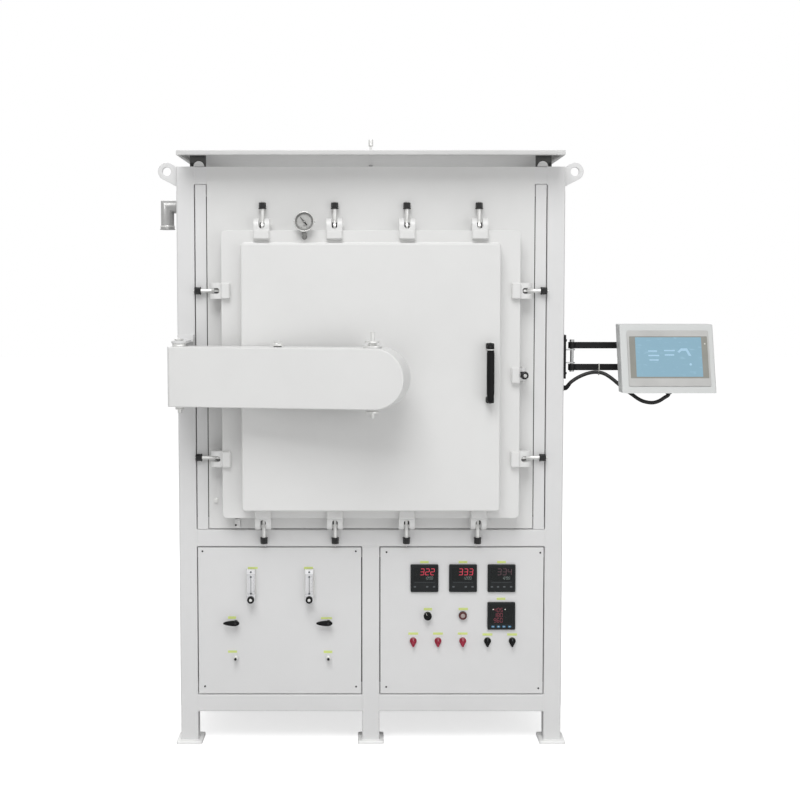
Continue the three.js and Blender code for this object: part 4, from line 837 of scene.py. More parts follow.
def blank_labels(piece, labels):
    """Blank plates on a front panel, in the panel's label finish: place, width and height of each."""
    for x, z, width, height in labels:
        label = plate(rounded_rectangle(width, height, 1), 0.7, edge=0.2, steps=1)
        piece.add(label, on_front(x, FACE_Y, z), 3)


SEGMENTS = {
    "0": "abcdef", "1": "bc", "2": "abged", "3": "abgcd", "4": "fgbc", "5": "afgcd",
    "6": "afgedc", "8": "abcdefg", "9": "abcfgd",
}
# Across in half widths, up in half heights
SEGMENT_PLACES = {
    "a": (0, 2), "g": (0, 0), "d": (0, -2), "f": (-1, 1), "b": (1, 1), "e": (-1, -1), "c": (1, -1),
}


def figures(piece, text, x, z, y, height, finish):
    """Seven-segment figures, their middle at a place on a surface that faces the front."""
    width = height * 0.56
    pitch = width * 1.5
    bar = height * 0.075
    slant = 0.08
    start = x - pitch * (len(text) - 1) / 2
    half = height / 2
    for i, figure in enumerate(text):
        for name in SEGMENTS[figure]:
            sideways, upwards = SEGMENT_PLACES[name]
            across, up = sideways * width / 2, upwards * half / 2
            long = (half if sideways else width) - bar * 0.7
            sx, sz = (bar, long) if sideways else (long, bar)
            centre = start + i * pitch + across + slant * up
            segment = block(about(centre, sx / 2), (y - 0.25, y + 0.2), about(z + up, sz / 2), 0.1, 1)
            piece.add(segment, finish=finish)


# Operators

class FURNACE_OT_stage(bpy.types.Operator):
    """Camera, lights, floor and surroundings"""

    bl_idname = "furnace.stage"
    bl_label = "Studio"

    aim = Vector((0, 0.3, 1.0))

    def execute(self, context):
        scene = context.scene
        settings = scene.furnace_stage
        scene.view_settings.view_transform = "Standard"
        self.camera(scene, settings.camera_pitch)
        fill = settings.fill_power
        for name, power, size, place in (
            ("Key", settings.key_power, 4.4, (-0.7, -5.0, 6.8)),
            ("Fill", fill, 3.2, (3.0, -4.2, 1.6)),
            ("Back", fill * 3, 4.0, (-1.5, 5.2, 5.0)),
        ):
            lamp = self.lamp(scene, name, power, place, size)
            lamp.rotation_euler = (self.aim - Vector(place)).to_track_quat("-Z", "Y").to_euler()
        lamp = self.lamp(scene, "Cover", settings.cover_power, (0, 0.6, 1.968), 1.18)
        lamp.rotation_euler = (math.pi, 0, 0)
        lamp.data.shape = "RECTANGLE"
        lamp.data.size_y = 1.14
        self.flag()
        self.surroundings(scene, settings.surround)
        self.floor()
        return {"FINISHED"}

    def camera(self, scene, pitch):
        lens = bpy.data.cameras.new("Camera")
        lens.lens = 69.48
        lens.sensor_width = 36
        lens.shift_x = 0.0365
        lens.clip_end = 80
        camera = bpy.data.objects.new("Camera", lens)
        camera.location = (0, -5.292, 1.571)
        camera.rotation_euler = (QUARTER - pitch, 0, 0)
        scene.collection.objects.link(camera)
        scene.camera = camera

    def lamp(self, scene, name, power, place, size):
        light = bpy.data.lights.new(name, "AREA")
        light.energy = power
        light.size = size
        item = bpy.data.objects.new(name, light)
        item.location = place
        scene.collection.objects.link(item)
        return item

    def flag(self):
        """Card in front of the cover that shades the top of the front from the key light."""
        item = mesh_object(block((-640, 640), (-156, -44), (2016, 2022), 0), "Studio_flag")
        item.scale = (MM, MM, MM)
        item.data.materials.append(material("cabinet"))
        item.visible_camera = False
        item.visible_glossy = False
        item.visible_transmission = False

    def surroundings(self, scene, level):
        """White to the camera, nearly white in reflections, and soft as a light."""
        scene.world = bpy.data.worlds.new("Surroundings")
        graph = Graph(scene.world, empty=True)
        white = (1, 1, 1, 1)
        seen = graph.node("Background", {"Color": white, "Strength": 1.0})[0]
        soft = graph.node("Background", {"Color": white, "Strength": level})[0]
        rays = graph.node("LightPath")
        glossy = graph.node("Math", {0: rays["Is Glossy Ray"], 1: 0.75}, operation="MULTIPLY")[0]
        share = graph.node("Math", {0: graph.seen(rays), 1: glossy}, operation="MAXIMUM")[0]
        graph.node("OutputWorld", {"Surface": graph.node("MixShader", {"Fac": share, 1: soft, 2: seen})[0]})

    def floor(self):
        """Pale floor that keeps the shadows, and glows to the camera."""
        form = bmesh.new()
        bmesh.ops.create_grid(form, x_segments=8, y_segments=8, size=30)
        item = mesh_object(form, "Studio_floor")
        graph = Graph(bpy.data.materials.new("Studio floor"), empty=True)
        lit = graph.node("BsdfDiffuse", {"Color": (0.8, 0.8, 0.8, 1)})[0]
        glow = graph.node("Emission", {"Strength": 0.7})[0]
        total = graph.node("AddShader", {0: lit, 1: glow})[0]
        seen = graph.seen(graph.node("LightPath"))
        graph.node("OutputMaterial", {"Surface": graph.node("MixShader", {"Fac": seen, 1: lit, 2: total})[0]})
        item.data.materials.append(graph.owner)


class FURNACE_OT_cable(bpy.types.Operator):
    """Cable from the cabinet's side to the terminal"""

    bl_idname = "furnace.cable"
    bl_label = "Terminal cable"

    # Shares of the way across and forward, and the height over the straight line
    across = (0.012, 0.035, 0.062, 0.152, 0.251, 0.328, 0.398, 0.465, 0.531,
              0.594, 0.663, 0.706, 0.761, 0.845, 0.906, 0.962, 0.991, 1)
    forward = (0, 0, 0, 0.007, 0, 0, 0.061, 0.143, 0.28,
               0.471, 0.648, 0.744, 0.826, 0.908, 0.949, 0.983, 0.997, 1)
    rises = (0, 7, 18.5, 38.6, 51, 54.2, 51.2, 38.9, 20.8,
             3, -13.4, -23.8, -32.3, -35.3, -29, -16.3, -9.7, -4.7)
    # The tie holds the cable to the boom past this hinge.
    hinge = ("terminal_boom", (0.672, 0, 1.26), (0.77, 0, 1.26))

    def execute(self, context):
        start = Vector(CABLE_EXIT)
        end = Vector(CABLE_END)
        points = [start]
        for a, f, rise in zip(self.across, self.forward, self.rises):
            points.append(Vector((
                start.x + a * (end.x - start.x),
                start.y + f * (end.y - start.y),
                start.z + rise + f * (end.z - start.z),
            )))
        points.append(end)
        route = smooth_route(points)
        item = Piece("Terminal_cable", "cable").add(sweep(route, 6.3)).ride(
            "base", "cable_rubber", "terminal_cable", crossing=self.hinge
        )
        sleeve = self.first_part(route, 26)
        radii = [8.8] + [8.8 + (6.7 - 8.8) * i / (len(sleeve) - 1) for i in range(len(sleeve))]
        sleeve.insert(0, route[0] + (route[0] - route[1]).normalized() * 2)
        relief = Piece("Cable_strain_relief", "black").add(sweep(sleeve, radii, 24))
        item_relief = relief.ride("base", "black_plastic")
        return {"FINISHED"}

    def first_part(self, route, reach):
        """First points of a route, as far as a reach."""
        part = [route[0]]
        run = 0.0
        for a, b in zip(route, route[1:]):
            run += (b - a).length
            if run > reach:
                break
            part.append(b)
        return part


class FURNACE_OT_frame(bpy.types.Operator):
    """Welded tube frame with feet, lifting lugs and the hinge bracket"""

    bl_idname = "furnace.frame"
    bl_label = "Tube frame"

    def execute(self, context):
        # The frame's seal finish is painted shade in the strips behind the panel gaps.
        piece = Piece("Tube_frame", "cabinet", "foot", "seal")
        corner = size_mm("tube_corner")
        bead = size_mm("weld_bead")
        for y in (FRONT_ROW, REAR_ROW):
            self.row(piece, y, corner, bead)
        for x in (POSTS[0], POSTS[-1]):
            for top in BEAM_TOPS:
                span = (top - 2 * TUBE, top)
                piece.add(block(about(x, TUBE), (29, 1161), span, corner, 3, "y"))
                for y in (30.2, 1159.8):
                    piece.add(bead_round(about(x, TUBE), y, span, bead, "y"))
        for x in (-300, 300):
            piece.add(block(about(x, TUBE), (29, 1161), (687, 747), corner, 3, "y"))
        for side in (-1, 1):
            piece.add(block((side * 558, side * 595), (-30, -28), (747.5, 1923.5), 0.5, 1))
            for y in (FRONT_ROW, REAR_ROW):
                self.lug(piece, side, y)
            self.gap_shade_strips(piece, side)
        self.tabs(piece)
        self.hinge_bracket(piece, bead)
        piece.ride("base", "frame_paint", "frame")
        return {"FINISHED"}

    def row(self, piece, y, corner, bead):
        """Posts, feet and cross beams of the front or the rear."""
        depth = about(y, TUBE)
        for x in POSTS:
            top = BEAM_TOPS[-1] if x else 687.5
            piece.add(block(about(x, TUBE), depth, (11.5, top), corner, 3, "z"))
            piece.add(bead_round(about(x, TUBE), depth, 12.4, bead, "z"))
            foot = rounded_rectangle(90, 120, 9, x, y + (-6 if y else 6))
            # Foot plates in the lighter foot finish, painted light.
            piece.add(plate(foot, 12, edge=3, steps=3), finish=1)
        for top in BEAM_TOPS:
            span = (top - 2 * TUBE, top)
            runs = ((-599, -29), (29, 599)) if top == BEAM_TOPS[0] else ((-599, 599),)
            for run in runs:
                piece.add(block(run, depth, span, corner, 3, "x"))
            for x in (-598.2, 598.2):
                piece.add(bead_round(x, depth, span, bead, "x"))
        piece.add(bead_round(about(0, TUBE), depth, 687, bead, "z"))
        for x in about(0, TUBE):
            piece.add(bead_round(x, depth, (110, 170), bead * 0.8, "x"))

    def lug(self, piece, side, y):
        """Round lifting eye, its outline tangent from the post's side to the round."""
        centre = Vector((693, 1969))
        radius = 30
        bearings = []
        roots = [Vector((653, 1979)), Vector((653, 1915))]
        for root, way in zip(roots, (-1, 1)):
            gap = root - centre
            spread = math.acos(radius / gap.length)
            bearings.append(math.degrees(math.atan2(gap.y, gap.x) + way * spread))
        start, end = bearings
        while end > start:
            end -= 360
        outline = [tuple(roots[1]), tuple(roots[0])] + arc(centre.x, centre.y, radius, start, end, 26)
        outline = [(side * x, z) for x, z in outline]
        hole = circle(14.5, side * centre.x, centre.y, 32)
        piece.add(plate(outline, 16, [hole], 1.6), on_front(0, y + 8, 0))
        for face_y in about(y, 8):
            piece.add(sweep([(side * 658.6, face_y, 1921), (side * 658.6, face_y, 1978)], 2.4, 8))

    def gap_shade_strips(self, piece, side):
        """Dark strips behind the gaps between the panels and the posts: painted shade that darkens the gaps.
        """
        for across, span in (((29, 46), (169, 688)), ((582, 600), (169, 688)), ((546, 600), (746, 1925))):
            piece.add(block([side * a for a in across], (-8.7, -7.2), span, 0), finish=2)

    def tabs(self, piece):
        """Tabs that carry the fascia and the lower panels."""
        low, high = ((165, 210), (647, 692)), ((742, 787), (1884, 1929))
        for across, spans in (((603, 558), low), ((25, 70), low), ((603, 521), high)):
            for side in (-1, 1):
                for z in spans:
                    piece.add(block([side * a for a in across], (-11.7, -8.7), z, 0.6, 1))

    def hinge_bracket(self, piece, bead):
        """Two hinge lugs and the plates that carry them on the left post."""
        x, y = HINGE
        half = 25.5
        outline = [(x + half, -33), (x - half, -33), (x - half, y)] + arc(x, y, half, 180, 360, 20)
        for z in (1392, 1195.3):
            piece.add(plate(outline, 8, [circle(10.6, x, y, 28)], 1.2), at(z=z))
        for z in ((1347, 1416), (1195.3, 1248.3)):
            piece.add(block((-658, -601), (-38, -25), z, 1.4, 2))
        curve = [
            (rounded_corner(-601, x + half / 2, x, i / 8), rounded_corner(1416, 1408, 1400, i / 8))
            for i in range(9)
        ]
        shoulder = [(-601, 1393)] + curve + [(x, 1393)]
        piece.add(plate(shoulder, 24, edge=0.8), on_front(0, -37, 0))
        for z in (1391.4, 1400.6, 1194.7, 1203.9):
            piece.add(sweep([(x - half + 2, -38.6, z), (x + half - 2, -38.6, z)], bead, 8))


class FURNACE_OT_covers(bpy.types.Operator):
    """Top cover on its standoffs, side covers and rear cover"""

    bl_idname = "furnace.covers"
    bl_label = "Covers"

    def execute(self, context):
        self.top()
        self.side("left")
        self.side("right")
        self.rear()
        return {"FINISHED"}

    def top(self):
        # The cover's finish is a darker copy of the cabinet paint, painted shade.
        piece = Piece("Top_cover", "cover", "oxide", "zinc", "mount")
        low, high, bend, skirt = 2022, 2039, 3.0, 14

        def level(inset, z):
            outline = rounded_rectangle(1316 - 2 * inset, 1262 - 2 * inset, 1, 0, MIDDLE_Y)
            return [(x, y, z) for x, y in outline]

        turn = [(bend * (1 - s), bend * (1 - c)) for c, s in quarter(3, 1)]
        rings = [level(2, high - 2), level(2, low + 2), level(skirt, low + 2)]
        rings += [level(skirt, low), level(bend, low)]
        rings += [level(inset, low + up) for inset, up in turn]
        rings += [level(inset, high - up) for inset, up in reversed(turn)] + [level(bend, high)]
        vent = at(0, VALVE_Y, 0)
        piece.add(carved(loft(rings), [moved(disc(11, 2030, 2050, 0), vent)]))
        ends = (((-18, 22), -18, -1, FACING_FRONT), ((1168, 1208), 1208, 1, FACING_BACK))
        for span, face, way, facing in ends:
            for side in (-1, 1):
                # Standoff blocks in dark grey: painted shade under the cover.
                piece.add(block((side * 562, side * 613), span, (1984.3, 2037.5), 2.0, 2, "z"), finish=3)
                hex_socket_screw(piece, at(side * 606, face, 1994) @ facing, 4.6, 3, 1, 1)
                piece.add(half_disc(18, 9), at(side * 582, face + way * 0.2, 1984.5) @ facing)
        piece.add(ring(15, 11.2, 2038.8, 2040.2, 0.3), vent, 2)
        piece.ride("base", "cover_paint", "top_cover")

    def side(self, name):
        side, facing = (-1, FACING_LEFT) if name == "left" else (1, FACING_RIGHT)
        piece = Piece(f"{name.capitalize()}_side_cover", "cabinet", "zinc", "black")
        sheet_x = side * 658.3
        holes = [circle(25, MIDDLE_Y - ELBOW_Y, ELBOW_Z - SHEET_Z)] if side < 0 else []
        sheet = plate(rounded_rectangle(1220, 1780, 6), 2, holes, 0.8)
        piece.add(sheet, at(sheet_x, MIDDLE_Y, SHEET_Z) @ facing)
        for y in (8, 400, 790, 1182):
            for z in (140, SEAM_Z, 1890):
                pan_screw(piece, at(side * 660.2, y, z) @ facing, 4.2, 1, 2)
        if side > 0:
            gland = at(660, *CABLE_EXIT[1:]) @ facing
            piece.add(hexagon(19, 3.4), gland, 2)
            piece.add(lathe([(0, 0), (9, 0), (9, 3.8), (8, 5.3), (0, 5.3)], 32), gland, 2)
        else:
            piece.add(ring(29, 24.4, 1.8, 3.2), at(sheet_x, ELBOW_Y, ELBOW_Z) @ facing, 2)
        piece.ride("base", "cover_paint", f"{name}_side_panel")

    def rear(self):
        piece = Piece("Rear_cover", "cabinet", "zinc", "black")
        slots = [(x, 306 + 34 * row) for x in (-300, 300) for row in range(7)]
        holes = [rounded_rectangle(300, 8, 3.5, x, z - SHEET_Z, 4) for x, z in slots]
        facing = at(0, 1220.3, SHEET_Z) @ FACING_BACK @ turned(180, "Z")
        piece.add(plate(rounded_rectangle(1286, 1780, 6), 2, holes, 0.7), facing)
        for x, z in slots:
            piece.add(self.louvre(x, z))
        for x in (-628, -210, 210, 628):
            for z in ((140, 1890) if abs(x) < 300 else (140, SEAM_Z, 1890)):
                pan_screw(piece, at(x, 1222.2, z) @ FACING_BACK, 4.2, 1, 2)
        piece.ride("base", "cover_paint", "rear_panel")

    def louvre(self, x, z):
        """Pressed hood over a slot, its bow flat at both ends."""
        rings = []
        for along, scale in ((-149, 0.15), (-146, 0.7), (-138, 1), (138, 1), (146, 0.7), (149, 0.15)):
            angles = [math.pi * i / 10 for i in range(8)]
            bow = [
                (1222 + 9 * scale * math.sin(a) + 0.2, z - 3.5 + 9.5 * math.cos(a) * scale) for a in angles
            ]
            thin = [(y - 1.1, height) for y, height in reversed(bow)]
            rings.append([(x + along, min(y, 1231), height) for y, height in bow + thin])
        return loft(rings)


class FURNACE_OT_fascia(bpy.types.Operator):
    """Sheet round the chamber mouth and the small fittings on it"""

    bl_idname = "furnace.fascia"
    bl_label = "Fascia"

    def execute(self, context):
        piece = Piece("Front_fascia", "fascia", "zinc", "oxide")
        outer = rounded_rectangle(1110, 1173.6, 3, 0, 1336.8)
        mouth = rounded_rectangle(908, 868, 1, 0, CHAMBER_Z)
        bend = 2.2

        def level(outline, grow, depth):
            return [(x, FACE_Y + depth, z) for x, z in grown(outline, grow)]

        rings = [level(outer, 0, 18)]
        rings += [level(outer, -bend * (1 - c), bend * (1 - s)) for c, s in quarter(3)]
        rings += [level(mouth, 0, 0), level(mouth, 0, 2), level(outer, -3, 2), level(outer, -2, 3.2)]
        piece.add(loft([*rings, level(outer, -2, 18)], cyclic=True))
        skin_outline = rounded_rectangle(1110, 1233, 1, 0, 1367)
        piece.add(plate(skin_outline, 1.2, [mouth], 0), on_front(0, FACE_Y, 0))
        self.fittings(piece)
        piece.ride("base", "fascia_paint", "front_fascia")
        return {"FINISHED"}

    def fittings(self, piece):
        """Bolt and small latch at the lower left."""
        bolt = on_front(-531, -31.2, 848)
        piece.add(disc(9, 0, 1.6, 0.4, 28), bolt, 1)
        piece.add(hexagon(13, 7), bolt @ at(0, 0, 1.4), 1)
        piece.add(disc(4, 8, 11, 0.6, 20), bolt, 1)
        piece.add(block((-466, -447), (-50, -31), (756, 786), 1.6, 2))
        # Dark disc on the latch: painted shade of its hole.
        piece.add(disc(3.4, 0, 2.4, 0.4, 20), on_front(-462, -50, 765), 2)
        piece.add(disc(3.2, 0, 2, 0.4, 20), on_front(-452.5, -50, 778), 1)


class FURNACE_OT_chamber(bpy.types.Operator):
    """Chamber flange with its clevises, vessel, seal, lining and heaters"""

    bl_idname = "furnace.chamber"
    bl_label = "Chamber"

    def execute(self, context):
        piece = Piece("Chamber_shell", "cabinet", "zinc")
        sizes = ((*FLANGE, 16), (868, 828, 6), (900, 860, 10), (946, 877, 24), (928, 859, 15))
        flange, mouth, vessel, groove_out, groove_in = [
            rounded_rectangle(width, height, corner, 0, CHAMBER_Z, 6) for width, height, corner in sizes
        ]
        levels = (
            (vessel, -16, 984), (vessel, 0, 1000), (vessel, 0, -31), (flange, -1.5, -31), (flange, 0, -32.5),
            (flange, 0, -59.5), (flange, -1.5, FLANGE_FRONT), (groove_out, 0, FLANGE_FRONT),
            (groove_out, 0, -55), (groove_in, 0, -55), (groove_in, 0, FLANGE_FRONT),
            (mouth, 1, FLANGE_FRONT), (mouth, 0, -60), (mouth, 0, 983.9),
        )
        piece.add(loft([[(x, y, z) for x, z in grown(outline, grow)] for outline, grow, y in levels]))
        for x in (-300, 300):
            piece.add(block(about(x, 28), (220, 900), (747.3, 852), 3, 2))
            piece.add(block(about(x, 40), (220, 900), (747.3, 757), 2, 2))
        for name in STATIONS:
            self.clevis(piece, station_place(name))
        piece.ride("base", "chamber_paint", "chamber_shell")
        for node, key in (("door_seal", "seal"), ("chamber_lining", "fibre")):
            self.dress_node(node, key)
        for side, name in ((-1, "left"), (1, "right")):
            heater = Piece(f"Heater_{name}", "heater").add(sweep(self.heater_route(side * 297.7), 7, 14))
            heater.ride("base", "heating_element", f"heater_{name}")
        return {"FINISHED"}

    def clevis(self, piece, place):
        """Two ears on weld beads, with the pin of a swing bolt."""
        ear = [(PIVOT_Y - 9, -5), (PIVOT_Y + 9, -5)] + arc(PIVOT_Y, PIVOT_UP, 9, 0, 180, 14)
        for start in (-23, 10):
            piece.add(plate(ear, 13), place @ at(start, 0, 0) @ FACING_RIGHT)
            corners = ((-1, -1), (1, -1), (1, 1), (-1, 1), (-1, -1))
            foot = [(start + 6.5 + 8.5 * sx, PIVOT_Y + 11 * sy, 0) for sx, sy in corners]
            piece.add(sweep(rounded_path(foot, 2, 3), 1.5, 8), place)
        shank = [(0, -26.2), (5.2, -26.2), (6, -25.4), (6, 23.4)]
        head = [(8.6, 23.6), (8.6, 26.2), (7.4, 27), (0, 27)]
        pivot = place @ at(0, PIVOT_Y, PIVOT_UP) @ FACING_RIGHT
        piece.add(lathe(shank + head, 24, 0.4), pivot, 1)
        piece.add(ring(7.6, 5.6, -25, -23.6, 0.3, 20), pivot, 1)

    def heater_route(self, x):
        """Six legs of an element that hangs in loops, its ends at the roof."""
        roof, legs, pitch, drop = 1654.7, 6, 120, 36
        limits = (1584.7 - 60, 977.3 + 60)
        points = []
        for leg in range(legs):
            y = 200 + pitch * leg
            way = -1 if leg % 2 == 0 else 1
            start, stop = limits[::-way]
            points += [(x, y, start if leg else roof), (x, y, stop if leg < legs - 1 else roof)]
            if leg < legs - 1:
                for step in range(1, 8):
                    a = math.pi * step / 8
                    points.append((x, y + pitch / 2 * (1 - math.cos(a)), stop + way * drop * math.sin(a)))
        return points

    def dress_node(self, name, key):
        """Gives a carried-over node its finish."""
        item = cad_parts[name]
        item = item if hasattr(item, "material_slots") else bpy.data.objects[name]
        if not item.material_slots:
            item.data.materials.append(material(key))
        for slot in item.material_slots:
            slot.material = material(key)


class FURNACE_OT_door(bpy.types.Operator):
    """Door with its forks, pads, yoke and insulation plug"""

    bl_idname = "furnace.door"
    bl_label = "Door"

    def execute(self, context):
        piece = Piece("Door_shell", "door")
        flange = rounded_rectangle(*FLANGE, 16, 0, CHAMBER_Z, 7)
        piece.add(plate(flange, 30, edge=size_mm("edge") + 0.6), on_front(0, -63, 0))
        box = rounded_rectangle(865, 897, 10, 0, 1275, 7)
        fillet = 4.0
        levels = [(fillet, 92)] + [(fillet * (1 - s), 93 + fillet * (1 - c)) for c, s in quarter(3)]
        piece.add(stack(box, levels + rounding(size_mm("box_bend"), 150, 5)), FACING_FRONT)
        fork = self.fork()
        for name in STATIONS:
            place = station_place(name)
            piece.add(block((-27, 27), (-113, -86), (-30, 0), 3.6, 1), place)
            if name != CLOSED_STATION:
                piece.add(fork.copy(), place)
        fork.free()
        self.yoke(piece)
        piece.ride("door", "door_paint", "door_shell")
        self.plug()
        return {"FINISHED"}

    def fork(self):
        nose = arc(-101 + 26, 41 - 26, 26, 180, 90, 10)
        profile = [(-63.2, -5), (-101, -5)] + nose + [(-63.2, 41)]
        body = moved(plate(profile, 54, edge=0), at(-27, 0, 0) @ FACING_RIGHT)
        slot = arc(0, 16, 10, 180, 360, 14) + [(10, 60), (-10, 60)]
        cutter = moved(plate(slot, 90, edge=0), on_front(0, -40, 0))
        return ease_edges(carved(body, [cutter]), 1.2, 40)

    def yoke(self, piece):
        """Web and boss that hang the door on its pivot pin."""
        x, y = PIVOT
        low, high = 1197, 1370
        piece.add(block(about(x, 26), (y, -147), (low, high), 3, 2))
        piece.add(lathe([(12.6, low), (32, low), (32, high), (12.6, high)], 48, 2.0), at(x, y, 0))
        for sx in about(x, 27):
            piece.add(sweep([(sx, -150.6, low + 3), (sx, -150.6, high - 3)], 3, 10))

    def plug(self):
        plug = Piece("Door_plug", "fibre")
        mouth = rounded_rectangle(780, 740, 16, 0, CHAMBER_Z, 6)
        ease = 10
        rings = [[(x, -66, z) for x, z in mouth]]
        rings += [[(x, -40 + ease * s, z) for x, z in grown(mouth, -ease * (1 - c))] for c, s in quarter(4)]
        plug.add(loft(rings))
        plug.ride("door", "ceramic_fibre", "door_plug")


class FURNACE_OT_handle(bpy.types.Operator):
    """Grip and end mounts of the door's handle"""

    bl_idname = "furnace.handle"
    bl_label = "Door handle"

    def execute(self, context):
        piece = Piece("Door_handle", "black", "zinc")
        x, grip_y, foot_y, low, high = 396, -194, -170, 1203, 1382
        for z in (low, high):
            piece.add(plate(rounded_rectangle(30, 24, 3, x, z), 3, edge=0.6), on_front(0, -150.2, 0), 1)
            piece.add(plate(rounded_rectangle(26, 20, 4, x, z), 34, edge=2.5), on_front(0, -152, 0))
            hex_socket_screw(piece, on_front(x, -185.4, z), 5, 2, 0, 0)
        piece.add(ring(13.2, 8, -1.6, 1.6, 0.5), at(x, grip_y, high - 11), 1)
        grip = rounded_path([(x, foot_y, low), (x, grip_y, low), (x, grip_y, high), (x, foot_y, high)], 16)
        piece.add(sweep(grip, 11.6, 24))
        steps = 36
        swell = [12.6 + 0.4 * math.sin(math.pi * i / (steps - 1)) for i in range(steps)]
        piece.add(sweep([(x, grip_y, 1222 + 4 * i) for i in range(steps)], swell, 28))
        piece.ride("door", "black_plastic", "door_handle")
        return {"FINISHED"}


class FURNACE_OT_gauge(bpy.types.Operator):
    """Pressure gauge on its stem, and its pointer"""

    bl_idname = "furnace.gauge"
    bl_label = "Pressure gauge"

    x, z = -222.04, 1795.0

    def execute(self, context):
        x, z = self.x, self.z
        piece = Piece("Gauge_case", "gauge_steel", "dial", "ink", "dial_rim")
        face = on_front(x, -99, z)
        case = [(0, 0), (31, 0), (32.6, 1.5), (32.6, 21), (34, 22), (34, 27), (33, 28)]
        glazing = [(30.6, 28), (30, 27), (30, 21), (0, 21)]
        piece.add(lathe(case + glazing, 56), face)
        piece.add(disc(29.6, 20.8, 21.4, 0.1, 48), face, 1)
        self.scale(piece, face)
        piece.add(disc(1.6, 21, 25.6, 0.2, 16), face, 2)
        piece.add(ring(29.8, 23.5, 21.1, 21.6, 0.05, 48), face, 3)
        for side in (-1, 1):
            piece.add(block((side * 32, side * 37), (-3, 3), (2, 5), 0.6), face)
        stem_y, foot_z = -113, z - 50
        route = rounded_path([(x, -92, foot_z), (x, stem_y, foot_z), (x, stem_y, z - 30)], 14, 8)
        piece.add(sweep(route, 6, 24), finish=3)
        piece.add(hexagon(14, 9), at(x, stem_y, z - 43.5), 3)
        piece.add(lathe([(0, 0), (9, 0), (9, 4), (7, 5), (0, 5)], 32), on_front(x, -93, foot_z), 3)
        piece.ride("door", "gauge_steel", "gauge_case")
        self.needle()
        return {"FINISHED"}

    def scale(self, piece, face):
        """Ticks over 270 degrees, every fifth one longer, and blank marks."""
        for i in range(31):
            length, wide = (2.8, 0.5) if i % 5 else (5, 0.9)
            tick = block(about(0, wide / 2), (0, length), (21.35, 21.9), 0)
            piece.add(tick, face @ turned(135 - 9 * i, "Z") @ at(0, 28 - length, 0), 2)
        for x, y, width in ((0, -12, 9), (0, -15, 6), (-9, -19, 4), (9, -19, 4)):
            piece.add(block(about(x, width / 2), about(y, 0.5), (21.35, 21.6), 0), face, 2)

    def needle(self):
        needle = Piece("Gauge_needle", "ink", "gauge_steel")
        left = [(-0.7, 20), (-1.6, 2), (-2.2, -3)]
        pointer = [(-2.2, -15), (2.2, -15)] + [(-x, y) for x, y in reversed(left)] + left
        place = on_front(self.x, -123.2, self.z) @ turned(39, "Z")
        needle.add(plate(pointer, 0.9, edge=0.15, steps=1), place)
        needle.add(disc(3.4, -0.8, 1.4, 0.4, 24), place)
        needle.add(disc(2.2, 1.2, 2, 0.2, 16), place, 1)
        needle.ride("needle", "black_plastic", "gauge_needle")


